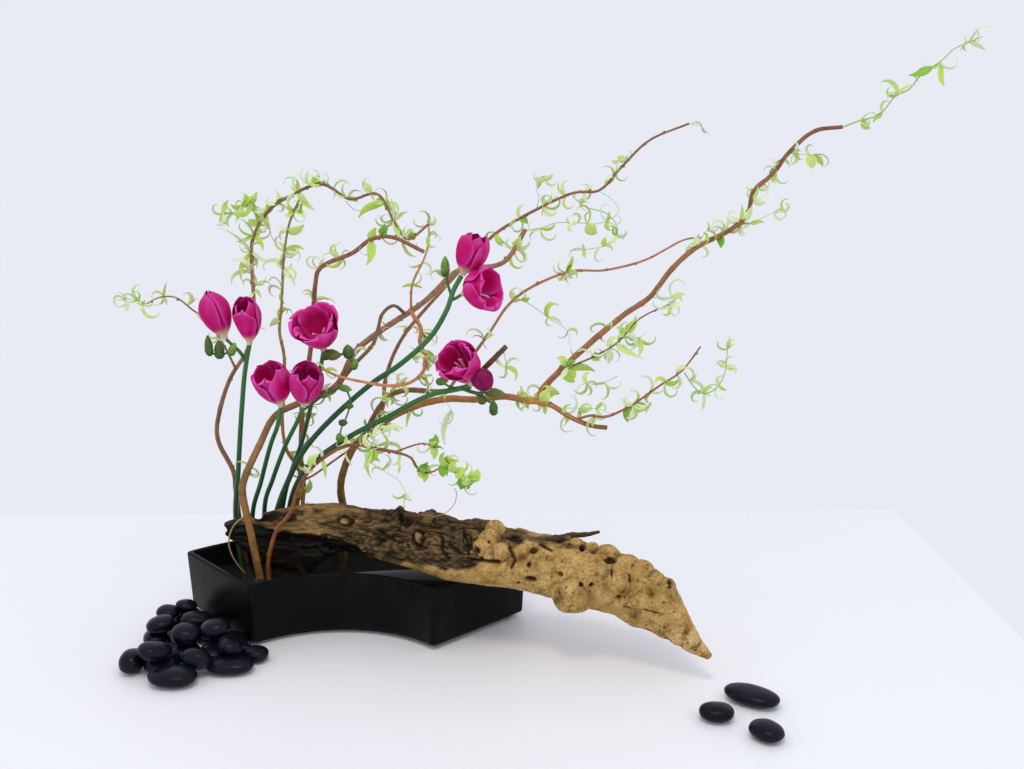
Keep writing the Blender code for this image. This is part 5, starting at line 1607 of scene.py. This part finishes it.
def petal_colour(share, across, phase, highlight_strength, dark):
    """Magenta with deep veins, a light rim, patches of painted highlight that grow towards the tip,
    and a cream foot, purple where it is dark.
    """
    vein = 0.5 + 0.5 * noise.noise(Vector((share * 2, across * 9, phase)))
    patch = 0.5 + 0.8 * noise.noise(Vector((share * 3, across * 2, phase + 7)))
    colour = PETAL_MAGENTA.lerp(PETAL_DEEP, clamp(0.25 + 0.5 * vein - 0.3 * patch))
    # Painted highlight: lighter patches in the rim's colour, stronger towards the tip
    glow = max(0, patch - 0.35) * highlight_strength * share
    rim = max(abs(across) ** 6, share**9)
    colour = colour.lerp(PETAL_RIM_AND_HIGHLIGHT, min(1, glow + 0.6 * rim)).lerp(PETAL_PURPLE, dark)
    return PETAL_CREAM.lerp(colour, clamp((share - 0.1) / 0.16))


def add_petal(skin, bend, length, widest, opening, turn, whorl, dark, draw):
    """A broad petal that rises from the tube, swells to the cup and ends in a soft round rim."""
    mouth = widest * (0.03 + 0.97 * opening**0.7)
    shoulder = 0.55 if opening else 0.88
    shrink = 0.96 - 0.12 * whorl
    tip_height = draw.uniform(0.88, 1.0) if opening else 0.98 + 0.02 * draw.random()
    lean = draw.uniform(-0.06, 0.1) * opening
    phase = draw.uniform(0, 50)
    roll = opening * draw.uniform(0.3, 1.0) * 3.2 * MM
    highlight_strength = draw.uniform(0.2, 0.9)
    rows = []
    for i in range(PETAL_ROWS + 1):
        share = i / PETAL_ROWS
        half = math.radians(40 + 16 * min(1, share / 0.5))
        if share > shoulder:
            half *= math.sqrt(max(0.0, 1 - ((share - shoulder) / (1 - shoulder)) ** 3.2))
        half = max(half, math.radians(5))
        row = []
        for k in range(PETAL_COLUMNS + 1):
            across = 2 * k / PETAL_COLUMNS - 1
            height = share * tip_height - 0.07 * across**2 * share**3
            radius = cup_radius(height, widest, mouth) * (shrink + lean * share)
            # Ruffles, a hollow down the middle, and a rim that rolls outwards and down
            wave = noise.noise(Vector((share * 2.5 + phase, across * 1.3, whorl)))
            fine = noise.noise(Vector((share * 6, across * 5, phase)))
            radius += (2.6 * wave + 0.8 * fine) * MM * share * (0.15 + opening)
            radius -= 0.07 * widest * (1 - across**2) * max(0, share - 0.3) * (opening > 0)
            radius += roll * max(0, share - 0.7) / 0.3 * (0.4 + across**2)
            drop = roll * 0.8 * max(0, share - 0.86) / 0.14
            angle = turn + across * half
            point = bend(Vector((radius * math.cos(angle), radius * math.sin(angle),
                                 length * height - drop)), height)
            row.append(skin.vertex(point, petal_colour(share, across, phase, highlight_strength, dark)))
        rows.append(row)
    skin.loft(rows, closed=False, caps=False)


def add_threads(skin, bend, length, widest, draw):
    """The pale stigma and stamens that stand in an open flower's throat."""
    pale = Vector(srgb(*THREAD_COLOUR))
    for _ in range(4):
        turn = draw.uniform(0, math.tau)
        out = Vector((math.cos(turn), math.sin(turn), 0))
        reach = draw.uniform(0.2, 0.45) * widest
        height = draw.uniform(0.5, 0.68)
        points = [bend(out * reach * share**2 + Vector((0, 0, height * length * share)),
                       height * share) / MM for share in (0.3, 0.5, 0.75, 1)]
        skin.tube(smooth_path(points, 2), taper(0.5, 0.65), plain(pale), 6)


# ---------------------------------------------------------------- pebbles and pin holders

STONE_ROWS, STONE_COLUMNS = 20, 36
STONE_FULLNESS = 0.9  # below 1 the stones are fuller at their shoulders than an ellipsoid
STONE_SWELL = 1.04  # makes up for the dents, which only go inwards
STONE_TINT = (16, 17, 24)


def make_pebble(name, node, stone, phase):
    """A smooth, slightly uneven stone that fills the modelled one."""
    places = np.array([node.matrix_world @ vertex.co for vertex in node.data.vertices])
    middle = places.mean(0)
    axes = np.linalg.svd(places - middle)[2]
    reach = (places - middle) @ axes.T
    low, high = reach.min(0), reach.max(0)
    middle = middle + (low + high) / 2 @ axes
    half = (high - low) / 2 * STONE_SWELL
    skin = Skin()
    black = srgb(*STONE_TINT)
    rings = []
    for i in range(1, STONE_ROWS):
        slope = math.pi * i / STONE_ROWS
        ring = []
        for k in range(STONE_COLUMNS):
            turn = math.tau * k / STONE_COLUMNS
            way = Vector((math.sin(slope) * math.cos(turn), math.sin(slope) * math.sin(turn),
                          math.cos(slope)))
            full = [math.copysign(abs(part) ** STONE_FULLNESS, part) for part in way]
            dent = 1 - 0.04 * (1 + noise.noise(way * 1.3 + Vector((phase, 0, 0))))
            place = Vector(middle + np.array(full) * half * dent @ axes)
            place.z = max(place.z, places[:, 2].min())
            ring.append(skin.vertex(place, black))
        rings.append(ring)
    skin.loft(rings)
    skin.piece(name + "_stone", stone, "pebble_stone", [name])


def finish_cad_pieces():
    """The pebbles get smooth stones, and the pin holders keep their modelled shapes."""
    stone, metal = pebble_material(), pin_holder_material()
    for number, (name, node) in enumerate(sorted(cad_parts.items())):
        if "pebble" in name:
            make_pebble(name, node, stone, 7 * number)
        elif "pin_holder" in name:
            node.data.materials.clear()
            node.data.materials.append(metal)


# ---------------------------------------------------------------- table, light and camera

# The table top's corners, and its height, just below whatever stands on it
TABLE_CORNERS = ((-1.6, 0.17), (0.59, 0.3), (0.735, -1.5), (-1.6, -1.5))
TABLE_TOP, TABLE_THICKNESS = -0.2 * MM, 30 * MM

LAMP_PLACE, LAMP_AIM = Vector((0.05, -0.85, 1.95)), Vector((0.1, -0.05, 0.1))
LAMP_WIDTH, LAMP_DEPTH, LAMP_WATTS = 0.6, 0.5, 8.5

# Where the camera stands, and how many degrees it looks down and to the left
CAMERA_PLACE = (0.193, -1.067, 0.493)
CAMERA_DOWN, CAMERA_LEFT = 14.1, 2.4
CAMERA_LENS, CAMERA_SENSOR = 42.19, 36


def make_table():
    """A white table top, wide towards the viewer, with its far and right edges in view."""
    shape = bmesh.new()
    upper, lower = ([shape.verts.new((x, y, height)) for x, y in TABLE_CORNERS]
                    for height in (TABLE_TOP, TABLE_TOP - TABLE_THICKNESS))
    shape.faces.new(upper)
    shape.faces.new(lower[::-1])
    for i in range(len(upper)):
        j = (i + 1) % len(upper)
        shape.faces.new((upper[j], upper[i], lower[i], lower[j]))
    table = add_object("table_top", finished_mesh("table_top", shape))
    shader = Shader("white_table", Base_Color=srgb(246, 248, 252), Specular_IOR_Level=0.3)
    shader.roughen(shader.noise(6, 3), (0.3, 0.4), (0.8, 0.5))
    table.data.materials.append(shader.material)


def make_light():
    """An evenly lit, cool white room and one warm, broad lamp above the viewer."""
    world = bpy.data.worlds.new("room")
    world.use_nodes = True
    background = world.node_tree.nodes["Background"]
    background.inputs["Color"].default_value = (*srgb(232, 234, 244), 1)
    background.inputs["Strength"].default_value = 1
    scene.world = world
    light = bpy.data.lights.new("ceiling", "AREA")
    light.shape = "RECTANGLE"
    light.size, light.size_y = LAMP_WIDTH, LAMP_DEPTH
    light.energy = LAMP_WATTS
    light.color = srgb(255, 243, 214)
    lamp = add_object("ceiling", light)
    lamp.location = LAMP_PLACE
    lamp.rotation_euler = (LAMP_AIM - LAMP_PLACE).to_track_quat("-Z", "Y").to_euler()
    scene.view_settings.view_transform = "Standard"


def make_camera():
    """The photographer's view, from in front and a little above."""
    data = bpy.data.cameras.new("camera")
    data.lens = CAMERA_LENS
    data.sensor_width = CAMERA_SENSOR
    data.clip_start = 0.01
    camera = add_object("camera", data)
    camera.location = CAMERA_PLACE
    camera.rotation_euler = Euler((math.radians(90 - CAMERA_DOWN), 0, math.radians(CAMERA_LEFT)))
    scene.camera = camera


# ---------------------------------------------------------------- the arrangement

make_table()
make_light()
make_camera()
make_bowl()
make_water()
make_driftwood()
make_willow()
make_leaves()
make_freesias()
make_florets()
finish_cad_pieces()
